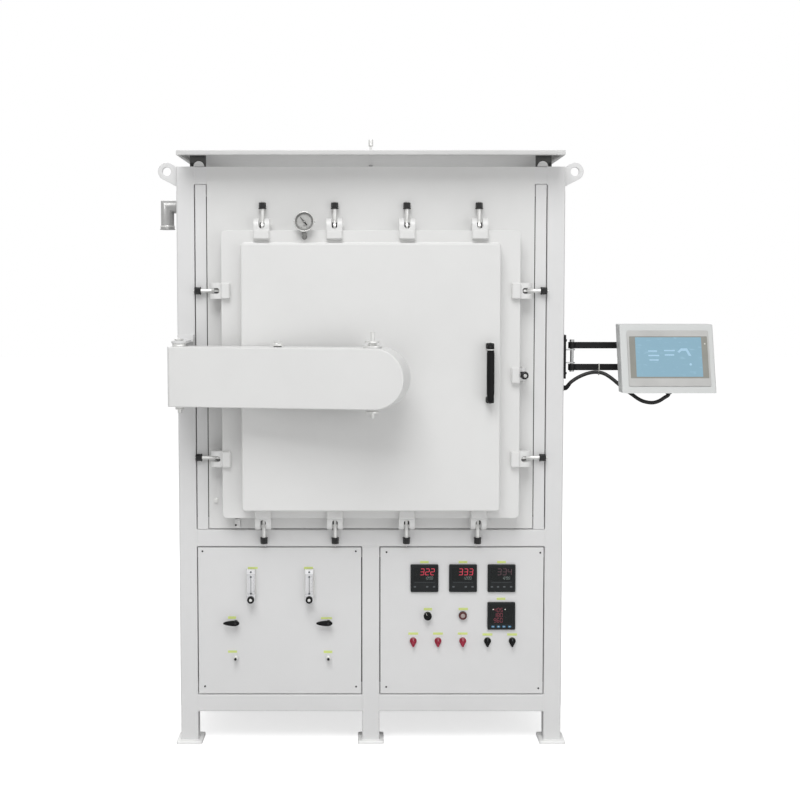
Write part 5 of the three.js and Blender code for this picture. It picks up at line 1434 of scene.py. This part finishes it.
class FURNACE_OT_arm(bpy.types.Operator):
    """Door arm with its hinge pin and pivot pin"""

    bl_idname = "furnace.arm"
    bl_label = "Door arm"

    def execute(self, context):
        reach = (PIVOT[0] - HINGE[0]) / math.cos(math.radians(ARM_TURN))
        self.channel(reach)
        self.hinge_pin()
        self.pivot_pin(reach)
        return {"FINISHED"}

    def hinge_pin(self):
        pin = Piece("Arm_hinge_pin", "zinc", "oxide")
        place = at(*HINGE, 0)
        pin.add(disc(10, 1177.8, 1401, 0.4, 36), place)
        pin.add(threaded(6.7, 1160.7, 1178, 1.8), place)
        pin.add(lathe([(0, 1177.7), (13.2, 1177.7), (14, 1178.6), (14, 1184.7), (0, 1184.7)], 36), place)
        pin.add(hexagon(25, 5.5), place @ at(0, 0, 1172.2))
        washer = [(23, 1382.3), (23, 1384.2), (22.2, 1384.8), (22.2, 1389.2), (23, 1389.8), (23, 1391.7)]
        pin.add(lathe([(0, 1382.3), *washer, (0, 1391.7)], 44), place)
        pin.add(hexagon(26, 7.6), place @ at(0, 0, 1400.3))
        pin.add(lathe([(0, 1407), (6.5, 1407), (5.8, 1408.3), (0, 1408.3)], 24), place)
        pin.ride("base", "zinc_steel", "arm_hinge_pin")

    def pivot_pin(self, reach):
        pivot = Piece("Door_pivot_pin", "zinc", "oxide")
        place = ARM_PLACE @ at(reach, 0, 0)
        pivot.add(disc(12, 1176, 1392, 0.4, 36), place)
        pivot.add(disc(31, 1382.3, 1389.3, 0.8, 52), place)
        pivot.add(hexagon(26, 8), place @ at(0, 0, 1389.3))
        washer = [(24, 1397.3), (24, 1400.2), (23, 1400.8), (23, 1401.4), (24, 1402), (24, 1404.3)]
        pivot.add(lathe([(0, 1397.3), *washer, (0, 1404.3)], 48), place)
        pivot.add(threaded(6.5, 1404, 1434.3, 2), place)
        pivot.add(hexagon(26, 7.8), place @ at(0, 0, 1176.9))
        pivot.add(disc(21.5, 1169.7, 1176.7, 0.8, 44), place)
        pivot.add(threaded(6.5, 1153.7, 1170, 2), place)
        pivot.ride("arm", "zinc_steel", "door_pivot_pin")

    def channel(self, reach):
        """Open channel with a round right end, bored for both pins."""
        piece = Piece("Door_arm", "door", "oxide", "zinc")
        half, bend, start = 65, 4.0, -22
        end = reach + 15.4
        radius = (ARM_HIGH - ARM_LOW) / 2

        def level(grow, y):
            r = radius + grow
            steps = [(end - start) * i / 6 for i in range(1, 6)]
            outline = [(start - grow, ARM_Z - r)] + [(start + s, ARM_Z - r) for s in steps]
            outline += arc(end, ARM_Z, r, -90, 90, 40) + [(end - s, ARM_Z + r) for s in steps]
            return [(x, y, z) for x, z in outline + [(start - grow, ARM_Z + r)]]

        rings = [level(-10, -half + 8), level(-9.2, half - 0.8), level(-1, half), level(0, half - 1)]
        rings += [level(-bend * (1 - c), -half + bend * (1 - s)) for c, s in quarter(4)]
        corner = [(-60, -90), (-10, -90)] + arc(-10, -53, 12, 270, 180, 8) + [(-60, -53)]
        round_left = moved(plate(corner, 400, edge=0), at(0, 0, ARM_LOW - 100))
        window = block((-60, -9), (-half + 20, half + 30), (ARM_LOW + 10, ARM_HIGH - 10), 0)
        bores = [
            moved(disc(r, ARM_LOW - 30, ARM_HIGH + 30, 0), at(x, 0, 0)) for x, r in ((0, 10.6), (reach, 12.6))
        ]
        body = carved(loft(rings), [round_left, window, *bores])
        piece.add(ease_edges(body, 0.9, 50), ARM_PLACE)
        boss = ARM_PLACE @ at(337, 0, ARM_HIGH)
        # Dark oxide disc under the boss's washer: painted shade beneath the washer.
        piece.add(disc(13, -1, 4, 0.4, 36), boss, 1)
        piece.add(lathe([(0, 3), (18, 3), (19, 4), (19, 10), (17, 12), (0, 12)], 44), boss, 2)
        piece.add(hexagon(24, 8), boss @ at(0, 0, 11.5), 2)
        piece.ride("arm", "door_paint", "door_arm")


class FURNACE_OT_bolts(bpy.types.Operator):
    """Swing bolts with their nuts"""

    bl_idname = "furnace.bolts"
    bl_label = "Swing bolts"

    def execute(self, context):
        pitch = size_mm("thread_pitch")
        for name in STATIONS:
            piece = Piece(f"Swing_bolt_{name}", "zinc", "oxide", "gauge_steel")
            place = station_place(name) @ at(0, PIVOT_Y, PIVOT_UP)
            if name == CLOSED_STATION:
                place = place @ turned(90, "X")
            # The eye's outer sides are dark oxide round a zinc band: painted shade in the gaps beside the
            # eye.
            piece.add(ring(14, 6.4, -8.5, 8.5, 1.2), place @ FACING_RIGHT, 1)
            piece.add(ring(14.5, 6.4, -4.4, 4.4, 0.8), place @ FACING_RIGHT)
            piece.add(lathe([(0, 8), (8.6, 9), (7.4, 15), (6.5, 20), (6.5, 30), (0, 30)], 28, 0.6), place)
            piece.add(threaded(6.6, 29.5, 59, pitch), place)
            piece.add(threaded(6, 79, 83, pitch), place, 2)
            flange = [(0, 58.4), (13, 58.4), (13.5, 59.2), (13.5, 61), (11.5, 63), (0, 63)]
            piece.add(lathe(flange, 36), place, 1)
            piece.add(hexagon(21, 18), place @ at(0, 0, 62.4), 1)
            body = "bolt_" + name
            piece.ride(body, "zinc_steel", "swing_" + body)
        return {"FINISHED"}


class FURNACE_OT_pipes(bpy.types.Operator):
    """Vacuum elbow and relief valve"""

    bl_idname = "furnace.pipes"
    bl_label = "Pipes"

    roof = 1711.3

    def execute(self, context):
        self.elbow()
        self.valve()
        return {"FINISHED"}

    def elbow(self):
        """Pipe from the chamber's roof through the left side, its mouth downwards."""
        piece = Piece("Exhaust_elbow", "elbow", "zinc", "dark_hole")
        x0, x1, y, z, roof = -320, -712, ELBOW_Y, ELBOW_Z, self.roof
        mouth = at(x1, y, 0)
        piece.add(mitred_pipe([(x0, y, roof), (x0, y, z), (x1, y, z), (x1, y, 1780)], 23))
        piece.add(ring(26.6, 19, 1778, 1781.2, 0.6, 48), mouth)
        piece.add(ring(24.4, 19, 1781, 1785.5, 0.8, 48), mouth)
        piece.add(ring(25.4, 19, 1785.4, 1792.3, 2.2, 48), mouth, 1)
        piece.add(disc(19.2, 1783, 1786, 0.1), mouth, 2)
        socket = [(0, roof), (41.5, roof), (41.5, roof + 12), (39, roof + 14), (23, roof + 14)]
        piece.add(lathe(socket, 48), at(x0, y, 0))
        collar = [(23, 0), (26.6, 0), (26.6, 7), (25.4, 8.2), (23, 8.2)]
        piece.add(lathe(collar, 44, 0.4), at(-660.4, y, z) @ FACING_LEFT, 1)
        piece.ride("base", "cover_paint", "exhaust_elbow")

    def valve(self):
        """Tube up to a small cap over the cover."""
        valve = Piece("Relief_valve", "steel", "zinc")
        place = at(0, VALVE_Y, 0)
        roof = self.roof
        valve.add(lathe([(0, roof), (22, roof), (22, 1723), (20, 1725.3), (0, 1725.3)], 40), place)
        valve.add(disc(7, 1724, 2070, 0.3, 28), place)
        valve.add(disc(4.6, 2069, 2110, 0.3, 28), place, 1)
        valve.add(hexagon(15, 12), place @ at(0, 0, 2063), 0)
        cap = [(0, 2108), (7.6, 2108), (9, 2110), (9, 2116), (8.5, 2117), (9, 2118), (9, 2131), (8, 2133.6)]
        valve.add(lathe([*cap, (0, 2134)], 36, 0.4), place, 1)
        valve.add(ring(13, 7, 2040.1, 2043, 0.5, 32), place, 1)
        valve.ride("base", "stainless_steel", "relief_valve")


def folded_panel(piece, x):
    """Lower front panel: a sheet with its edges folded back."""
    levels = [(-3.2, 28), (-2, 26.8), (-2, 12), (0, 12)] + rounding(2.0, 30)
    piece.add(stack(rounded_rectangle(562, 511, 2, x, 428.5, 4), levels), FACING_FRONT)


class FURNACE_OT_gas_panel(bpy.types.Operator):
    """Gas panel with flowmeters, needle valves, ball valves and ports"""

    bl_idname = "furnace.gas_panel"
    bl_label = "Gas panel"

    sides = (("left", -411.226, -465.74), ("right", -211.154, -145.962))
    valve_z = 424.923
    port_z = 300.75
    labels = (
        (-406.5, 613, 34, 7), (-214.5, 613, 31, 8), (-479, 440, 28, 9), (-153, 438, 38, 7),
        (-478, 321, 31, 8), (-148, 320, 30, 9),
    )

    def execute(self, context):
        piece = Piece("Gas_panel", "cabinet", "zinc", "oxide", "label", "brass", "dark_hole")
        folded_panel(piece, -314)
        for x, z in ((-579.4, 671), (-51.6, 671), (-574, 199), (-51, 198)):
            pan_screw(piece, on_front(x, FACE_Y, z), 3.2, 2)
        blank_labels(piece, self.labels)
        for _, _, x in self.sides:
            port = on_front(x, FACE_Y, self.port_z)
            piece.add(hexagon(18, 10), port)
            nipple = [(0, 9.5), (7.6, 9.5), (7.6, 12), (6, 13), (6, 24), (5, 25), (0, 25)]
            piece.add(lathe(nipple, 32), port, 1)
            piece.add(lathe([(4.6, 24), (4.6, 31), (4.2, 32), (3, 32), (3, 27), (0, 27)], 32, 0.3), port, 2)
            stem = on_front(x, FACE_Y, self.valve_z)
            piece.add(ring(11, 6.6, 0, 2, 0.4, 32), stem)
            piece.add(hexagon(14, 9), stem @ at(0, 0, 1.5), 2)
            piece.add(block(about(x, 17), (-28.8, 4), (407.9, 441.9), 2, 2), finish=4)
        piece.ride("base", "panel_paint", "gas_panel")
        for name, meter_x, valve_x in self.sides:
            self.flowmeter(name, meter_x)
            self.flow_knob(name, meter_x)
            self.lever(name, valve_x)
        return {"FINISHED"}

    def flowmeter(self, name, x):
        """Clear tube with a float between two white blocks."""
        piece = Piece(f"Flowmeter_{name}", "acrylic", "key", "zinc", "ink", "white_plastic", "white_paint")
        low, high = 496.184, 610.184
        back = rounded_rectangle(28, 114, 2, x, (low + high) / 2)
        piece.add(plate(back, 7, edge=0.8), on_front(0, -30.3, 0), 4)
        piece.add(block(about(x, 13.6), (-57.2, -37.3), (low + 28, high - 14), 1.6, 2))
        for span in ((low, low + 28.5), (high - 14.5, high)):
            piece.add(block(about(x, 14), (-57.3, -31), span, 1.6, 2), finish=5)
        line = 1 if name == "left" else 3
        piece.add(block(about(x, 0.9), (-57.6, -57), (low + 34, high - 22), 0.1, 1), finish=line)
        piece.add(disc(3.0, low + 29, high - 15, 0.2, 20), at(x, -46, 0), 2)
        piece.add(lathe([(0, -4), (2.2, -3), (4.4, 2), (4.4, 5), (0, 5)], 24, 0.3), at(x, -46, low + 62), 1)
        for z in (high - 7, high - 23.5, low + 33):
            piece.add(disc(3.4, 0, 1.4, 0.4, 24), on_front(x, -56.6, z), 1)
        for i in range(13):
            wide = 2.4 if i % 3 else 4.4
            tick_z = about(low + 40 + 4.4 * i, 0.3)
            piece.add(block((x + 12 - wide, x + 12), (-57.4, -57.1), tick_z, 0), finish=3)
        piece.ride("base", "clear_acrylic", f"flowmeter_{name}")

    def flow_knob(self, name, x):
        knob = Piece(f"Flow_knob_{name}", "black", "zinc")
        place = on_front(x, -57.6, 509.184)
        knob.add(stack(fluted(12.0, 0.45, 72, 2), [(0, 2), (0, 14)] + rounding(1.5, 19)), place)
        knob.add(disc(10.6, -0.2, 3, 0.4, 32), place)
        knob.add(lathe([(0, 18), (5.2, 18), (5.2, 19.2), (4.4, 19.6), (0, 19.6)], 32, 0.3), place, 1)
        knob.ride(f"flow_knob_{name}", "black_plastic", f"flow_knob_{name}")

    def lever(self, name, x):
        piece = Piece(f"Valve_lever_{name}", "black", "zinc", "oxide")
        place = on_front(x, -50, self.valve_z)
        upper = [(14, 2.4), (9, 7), (0, 9.4), (-10, 9.4), (-22, 8), (-33, 5.6), (-38.6, 3.4)]
        outline = upper + arc(-39, 0, 2.8, 120, 240, 5) + [(x, -y) for x, y in reversed(upper)]
        piece.add(plate(outline, 9, edge=2.4, steps=3), place)
        piece.add(disc(9, -5, 1, 1.0, 32), place)
        piece.add(disc(5, -18, 1, 0.3, 24), place, 2)
        piece.add(hexagon(8, 1.6), place @ at(0, 0, 8.6), 2)
        piece.ride(f"valve_lever_{name}", "black_plastic", f"valve_lever_{name}")


def fluted(radius, dip, sides, period):
    """Round outline whose second half of each period dips inwards, for a knob's grip."""
    radii = [radius - (dip if i % period >= period // 2 else 0) for i in range(sides)]
    return [(r * math.cos(a), r * math.sin(a)) for r, a in zip(radii, round_angles(sides))]


class FURNACE_OT_control_panel(bpy.types.Operator):
    """Control panel with its meters and operators"""

    bl_idname = "furnace.control_panel"
    bl_label = "Control panel"

    meters = ((184.74, 578.223), (317.372, 578.223), (450.004, 578.223), (450.004, 446.896))
    meter_face = -36.6
    selector_x = tuple(317.372 + 85.424 * k for k in (-2, -1, 0, 1, 2))
    selector_z = 359.515
    rotary = (195.98, 447.918)
    button = (317.372, 447.918)
    red_selectors = (1, 2, 3)

    def execute(self, context):
        piece = Piece("Control_panel", "cabinet", "zinc", "oxide", "label")
        folded_panel(piece, 314)
        for x, z in ((54, 668), (583.3, 666), (53.3, 197), (580, 192)):
            pan_screw(piece, on_front(x, FACE_Y, z), 3.2, 2)
        for x, z in [*((x, self.selector_z) for x in self.selector_x), self.rotary, self.button]:
            collar = 2 if (x, z) == self.button else 1
            piece.add(ring(14.5, 11, 0, 3, 0.5), on_front(x, FACE_Y, z), collar)
            piece.add(disc(11.2, 0, 1, 0.1, 32), on_front(x, FACE_Y, z), 2)
        labels = [(x, 633.5, 30, 8) for x, _ in self.meters[:3]] + [(449, 505.5, 30, 8)]
        labels += [(197, 469.5, 29, 8.5), (319, 470, 32, 8.5)]
        labels += [(x, 384 if number < 3 else 381, 34, 8) for number, x in enumerate(self.selector_x)]
        blank_labels(piece, labels)
        piece.ride("base", "panel_paint", "control_panel")
        for number, (x, z) in enumerate(self.meters, 1):
            self.meter(number, x, z)
        self.rotary_knob()
        self.push_button()
        for number, x in enumerate(self.selector_x, 1):
            self.selector(number, x)
        return {"FINISHED"}

    def meter(self, number, x, z):
        """Panel meter with its case, window, figures and keys."""
        piece = Piece(
            f"Panel_meter_{number}", "meter", "window", "digits", "small_digits", "dim_digits",
            "key", "blue_key", "white_plastic", "faint_digits",
        )
        levels = [(-2.5, 30.3), (-2.5, 31), (0, 31.5)] + rounding(2.0, 38.3)
        bezel = [(rounded_rectangle(96, 96, 4, x, z, 4), *step) for step in levels]
        mouth = rounded_rectangle(84, 84, 3, x, z, 4)
        bezel += [(mouth, *step) for step in ((0, 38.3), (-1, 37.2), (-1.4, 36.6))]
        rings = [[(px, pz, h) for px, pz in grown(outline, grow)] for outline, grow, h in bezel]
        piece.add(loft(rings), FACING_FRONT)
        piece.add(block(about(x, 45.5), (-32, 36), about(z, 45.5), 2, 2))
        if number < 4:
            self.large_display(piece, number, x, z)
        else:
            self.small_displays(piece, x, z)
        piece.ride("base", "meter_plastic", f"panel_meter_{number}")

    def large_display(self, piece, number, x, z):
        front = self.meter_face
        window = rounded_rectangle(74, 44, 2, x, z + 14)
        piece.add(plate(window, 0.8, edge=0.3, steps=1), on_front(0, front, 0), 1)
        lit = 2 if number < 3 else 8
        figures(piece, ("322", "333", "334")[number - 1], x + 10, z + 22.5, front - 0.9, 21, lit)
        figures(piece, "1200", x + 14.7, z + 1, front - 0.9, 9, 3)
        piece.add(block(about(x, 35), (front - 0.5, front + 0.4), (z - 15, z - 14.4), 0.1, 1), finish=5)
        for along in ((-33, 9.4, 33) if number < 3 else (-33, -12, 9.4, 33)):
            key = rounded_rectangle(8, 5, 1.5, x + along, z - 29.5)
            piece.add(plate(key, 1.2, edge=0.4), on_front(0, front, 0), 5)

    def small_displays(self, piece, x, z):
        front = self.meter_face
        window = rounded_rectangle(76, 64, 2, x, z + 5)
        piece.add(plate(window, 0.8, edge=0.3, steps=1), on_front(0, front, 0), 1)
        for row, text in enumerate(("405", "180", "960")):
            figures(piece, text, x - 11, z + 21 - 18 * row, front - 0.9, 13, 4)
        for along in (-28, 13):
            mark = block(about(x + along, 2), (front - 1.3, front - 0.7), (z + 21.5, z + 24.5), 0.1, 1)
            piece.add(mark, finish=7)
        for along in (-28.6, -9.4, 9, 28.6):
            key = rounded_rectangle(11, 6, 2, x + along, z - 37)
            piece.add(plate(key, 1.4, edge=0.5), on_front(0, front, 0), 6)
            piece.add(disc(1.5, 1, 1.7, 0.1, 16), on_front(x + along, front, z - 37), 7)

    def rotary_knob(self):
        piece = Piece("Rotary_knob", "black", "white_plastic")
        place = on_front(self.rotary[0], -33.3, self.rotary[1])
        sides = 96
        radii = [14 - (0.7 if i % 4 in (1, 2) else 0) for i in range(sides)]
        outline = [(r * math.cos(a), r * math.sin(a)) for r, a in zip(radii, round_angles(sides))]
        levels = [(-1.2, 0.1), (0, 2.4), (0, 14), (-0.8, 17)] + rounding(1.4, 20)[1:]
        piece.add(stack(outline, levels), place)
        piece.add(disc(10, -30, 0.4, 0.2, 24), place)
        piece.add(block((-0.7, 0.7), (5, 13), (19.7, 20.2), 0.1, 1), place @ turned(30, "Z"), 1)
        piece.ride("rotary_knob", "black_plastic", "rotary_knob")

    def push_button(self):
        piece = Piece("Push_button", "brown_red", "button_cap")
        place = on_front(self.button[0], FACE_Y, self.button[1])
        piece.add(ring(13.8, 7.6, 7.4, 12, 1.0), place)
        piece.add(ring(10.6, 7, 0.6, 8), place)
        piece.add(lathe([(0, 0), (7.8, 0), (7.8, 10.6), (6, 11.6), (0, 12)], 32, 0.4), place, 1)
        piece.add(disc(10, -29, 2, 0.3, 24), place)
        piece.ride("push_button", "red_plastic", "push_button")

    def selector(self, number, x):
        """Selector with a round skirt and a raised lever that points down."""
        finishes = ("crimson", "button_cap") if number in self.red_selectors else ("black", "key")
        piece = Piece(f"Selector_{number}", *finishes)
        place = on_front(x, -33.3, self.selector_z)
        spread = math.degrees(math.acos(12 / 21.5))
        lobe = arc(0, 0, 12, -90 + spread, 270 - spread, 30)
        outline = lobe + [(-3.6, -18.4), (-2.2, -19.5), (2.2, -19.5), (3.6, -18.4)]
        piece.add(stack(outline, [(-0.6, 0.1), (0, 1)] + rounding(0.8, 5, 2)), place)
        left = [(-4.8, 0), (-3.2, -17.8), (-1.8, -19)]
        wing = arc(0, 0, 11, 65, 115, 8) + left + [(-x, y) for x, y in reversed(left)]
        piece.add(stack(wing, [(0.6, 4)] + rounding(1.0, 15)), place)
        piece.add(block((-0.9, 0.9), (1.5, 10.5), (14.7, 15.15), 0.2, 1), place, 1)
        piece.add(disc(10, -30, 0.4, 0.2, 24), place)
        slot = "red_plastic" if number == 3 else "black_plastic"
        piece.ride(f"selector_{number}", slot, f"selector_{number}")


class FURNACE_OT_terminal(bpy.types.Operator):
    """Operator terminal with its bracket, boom and yoke"""

    bl_idname = "furnace.terminal"
    bl_label = "Operator terminal"

    hinge_x = 690
    tilt = (-45, 1341.5)

    def execute(self, context):
        self.bracket()
        self.boom()
        self.yoke()
        self.housing()
        self.screen()
        return {"FINISHED"}

    def bracket(self):
        piece = Piece("Terminal_wall_bracket", "steel", "oxide", "bar_paint")
        x, y = self.hinge_x, BOOM_Y
        foot = plate(rounded_rectangle(60, 150, 4, y, 1340), 6, edge=0.8)
        piece.add(foot, at(660.6, 0, 0) @ FACING_RIGHT, 2)
        lug = [(663, 16), (663, -6), (x, -6)] + arc(x, y, 11, -90, 90, 16) + [(x, 16)]
        for z in (1317.3, 1361.7):
            piece.add(plate(lug, 4, edge=0.8), at(0, 0, z))
        pin = at(x, y, 0)
        piece.add(disc(6, 1288.4, 1395, 0.4, 28), pin)
        piece.add(hexagon(14, 5), pin @ at(0, 0, 1287.9))
        piece.add(hexagon(14, 8.4), pin @ at(0, 0, 1390.3))
        piece.add(disc(8, 1292.2, 1292.9, 0.1, 24), pin)
        for z in (1284, 1396):
            for screw_y in about(y, 19):
                hex_socket_screw(piece, at(666.6, screw_y, z) @ FACING_RIGHT, 4.2, 3.6, 1, 1)
        piece.ride("base", "stainless_steel", "terminal_wall_bracket")

    def boom(self):
        """Two bars on the bracket's pin, the post at their end and the cable's tie."""
        piece = Piece("Terminal_boom", "bar_paint", "zinc", "nylon")
        x, y = self.hinge_x, BOOM_Y
        bar = arc(x, y, 13, 22.6, 337.4, 24) + [(1003, 0), (1005, 2), (1005, 8), (1003, 10)]
        for low in (1293, 1368):
            piece.add(plate(bar, 22, [circle(6.4, x, y, 24)], 0.9), at(0, 0, low))
        piece.add(disc(8, 1300, 1385, 0.3, 32), at(TERMINAL_X, y, 0), 1)
        self.tie(piece, Vector((783, y, 1296.2)))
        piece.ride("terminal_boom", "black_plastic", "terminal_arm")

    def tie(self, piece, middle):
        half = Vector((1.6, 0, 0))
        rings = []
        for y, z in rounded_rectangle(15.4, 39, 6.5, middle.y, middle.z, 4):
            p = Vector((middle.x, y, z))
            out = (p - middle).normalized() * 0.7
            rings.append([p + out - half, p + out + half, p - out + half, p - out - half])
        piece.add(loft(rings, cyclic=True), finish=2)
        piece.add(block(about(middle.x, 2.6), (11.2, 15), (1303, 1308.5), 0.6), finish=2)

    def yoke(self):
        piece = Piece("Terminal_yoke", "bar_paint", "zinc")
        x = TERMINAL_X
        sleeve = lathe([(8.4, 1316), (16, 1316), (16, 1367), (8.4, 1367)], 40, 0.8)
        piece.add(sleeve, at(x, BOOM_Y, 0))
        tongue = [(-6, 1330.5), (-6, 1352.5), (-45, 1352.5)] + arc(*self.tilt, 11, 90, 270, 16)
        piece.add(plate(tongue, 32, edge=1.2), at(x - 16, 0, 0) @ FACING_RIGHT)
        piece.add(disc(6, -34, 34, 0.5, 28), at(x, *self.tilt) @ FACING_RIGHT, 1)
        piece.ride("terminal_fork", "black_plastic", "terminal_yoke")

    def housing(self):
        """Leaning case with the ears of its tilt joint and the cable's gland."""
        # The housing's darker paint is painted shade.
        piece = Piece("Terminal_housing", "terminal", "oxide")
        x, low, deep = TERMINAL_X, 1226, 78
        y, high = TERMINAL_TOP
        low_y = y - (high - low) * math.tan(math.radians(TERMINAL_LEAN))
        side = [(y, high), (low_y, low), (low_y + deep, low), (y + deep, high)]
        piece.add(plate(side, 314, edge=5, steps=4), at(x - 157, 0, 0) @ FACING_RIGHT)
        ear = [(-84, 1327.5), (-45, 1327.5)] + arc(*self.tilt, 14, -90, 90, 16) + [(-84, 1355.5)]
        for start in (x - 29, x + 17):
            piece.add(plate(ear, 12, edge=0.8), at(start, 0, 0) @ FACING_RIGHT)
        gland = lathe([(6.5, 0), (11, 0), (11, 3), (9, 5), (6.5, 5)], 28, 0.4)
        piece.add(gland, at(x + 5, CABLE_END[1], low) @ turned(180, "X"), 1)
        piece.ride("terminal_head", "terminal_paint", "terminal_housing")

    def screen(self):
        """Bezel, glass border and lit area, with blank marks on the picture."""
        face = at(TERMINAL_X, *TERMINAL_TOP) @ turned(-TERMINAL_LEAN, "X") @ FACING_FRONT
        screen = Piece("Terminal_screen", "silver", "screen_frame", "screen", "white_plastic", "picture")
        outer = rounded_rectangle(273, 195, 5, 3.5, -120.5)
        inner = rounded_rectangle(261.6, 147, 3, 4.3, -117)
        levels = [(outer, *step) for step in [(0, 0.2), (0, 1.8)] + rounding(1.4, 3.3)[1:]]
        levels += [(inner, 0, 3.3), (inner, -0.7, 2.6)]
        rings = [[(x, y, h) for x, y in grown(outline, grow)] for outline, grow, h in levels]
        screen.add(loft(rings), face)
        glass = rounded_rectangle(260.4, 145.8, 2, 4.3, -117)
        lit = rounded_rectangle(221, 138, 1.5, 4, -116)
        screen.add(plate(glass, 0.8, edge=0.3, steps=1), face @ at(z=2.4), 1)
        screen.add(plate(lit, 0.5, edge=0.2, steps=1), face @ at(z=2.9), 2)
        screen.add(disc(2.2, 2.8, 3.5, 0.2, 16), face @ at(126, -70, 0), 3)
        marks = [
            rounded_rectangle(x1 - x0, 5, 2.4, (x0 + x1) / 2, up) for x0, x1, up in (
                (-65, -34, -95.6), (-65, -28, -111), (-62, -30, -126.7), (-12, 25, -93.7), (-10, 22, -109),
            )
        ]
        bent = [(39, -102), (47, -95), (62, -95), (70, -112), (79, -112), (66, -86), (45, -86), (33, -98)]
        marks.append(bent)
        for mark in marks:
            screen.add(plate(mark, 0.25, edge=0), face @ at(z=3.3), 4)
        screen.add(disc(4.2, 3.3, 3.55, 0.05, 20), face @ at(75, -142, 0), 4)
        screen.ride("terminal_head", "screen_bezel", "terminal_screen")


OPERATORS = (
    FURNACE_OT_stage,
    FURNACE_OT_cable,
    FURNACE_OT_frame,
    FURNACE_OT_covers,
    FURNACE_OT_fascia,
    FURNACE_OT_chamber,
    FURNACE_OT_door,
    FURNACE_OT_handle,
    FURNACE_OT_gauge,
    FURNACE_OT_arm,
    FURNACE_OT_bolts,
    FURNACE_OT_pipes,
    FURNACE_OT_gas_panel,
    FURNACE_OT_control_panel,
    FURNACE_OT_terminal,
)


class FURNACE_PT_panel(bpy.types.Panel):
    """Lists the furnace's pieces and settings"""

    bl_idname = "FURNACE_PT_panel"
    bl_label = "Furnace"
    bl_space_type = "VIEW_3D"
    bl_region_type = "UI"
    bl_category = "Furnace"

    def draw(self, context):
        layout = self.layout
        for operator in OPERATORS:
            layout.operator(operator.bl_idname)
        scene = context.scene
        for group in (scene.furnace_colours, scene.furnace_sizes, scene.furnace_stage):
            box = layout.box()
            for name in group.__annotations__:
                box.prop(group, name)


GROUPS = (FurnaceColours, FurnaceSizes, FurnaceStage)


def register():
    for item in (*GROUPS, *OPERATORS, FURNACE_PT_panel):
        bpy.utils.register_class(item)
    bpy.types.Scene.furnace_colours = PointerProperty(type=FurnaceColours)
    bpy.types.Scene.furnace_sizes = PointerProperty(type=FurnaceSizes)
    bpy.types.Scene.furnace_stage = PointerProperty(type=FurnaceStage)


def unregister():
    del bpy.types.Scene.furnace_stage
    del bpy.types.Scene.furnace_sizes
    del bpy.types.Scene.furnace_colours
    for item in reversed((*GROUPS, *OPERATORS, FURNACE_PT_panel)):
        bpy.utils.unregister_class(item)


def main():
    register()
    bpy.ops.furnace.stage()
    bpy.ops.furnace.cable()
    bpy.ops.furnace.frame()
    bpy.ops.furnace.covers()
    bpy.ops.furnace.fascia()
    bpy.ops.furnace.chamber()
    bpy.ops.furnace.door()
    bpy.ops.furnace.handle()
    bpy.ops.furnace.gauge()
    bpy.ops.furnace.arm()
    bpy.ops.furnace.bolts()
    bpy.ops.furnace.pipes()
    bpy.ops.furnace.gas_panel()
    bpy.ops.furnace.control_panel()
    bpy.ops.furnace.terminal()


if __name__ == "__main__":
    main()
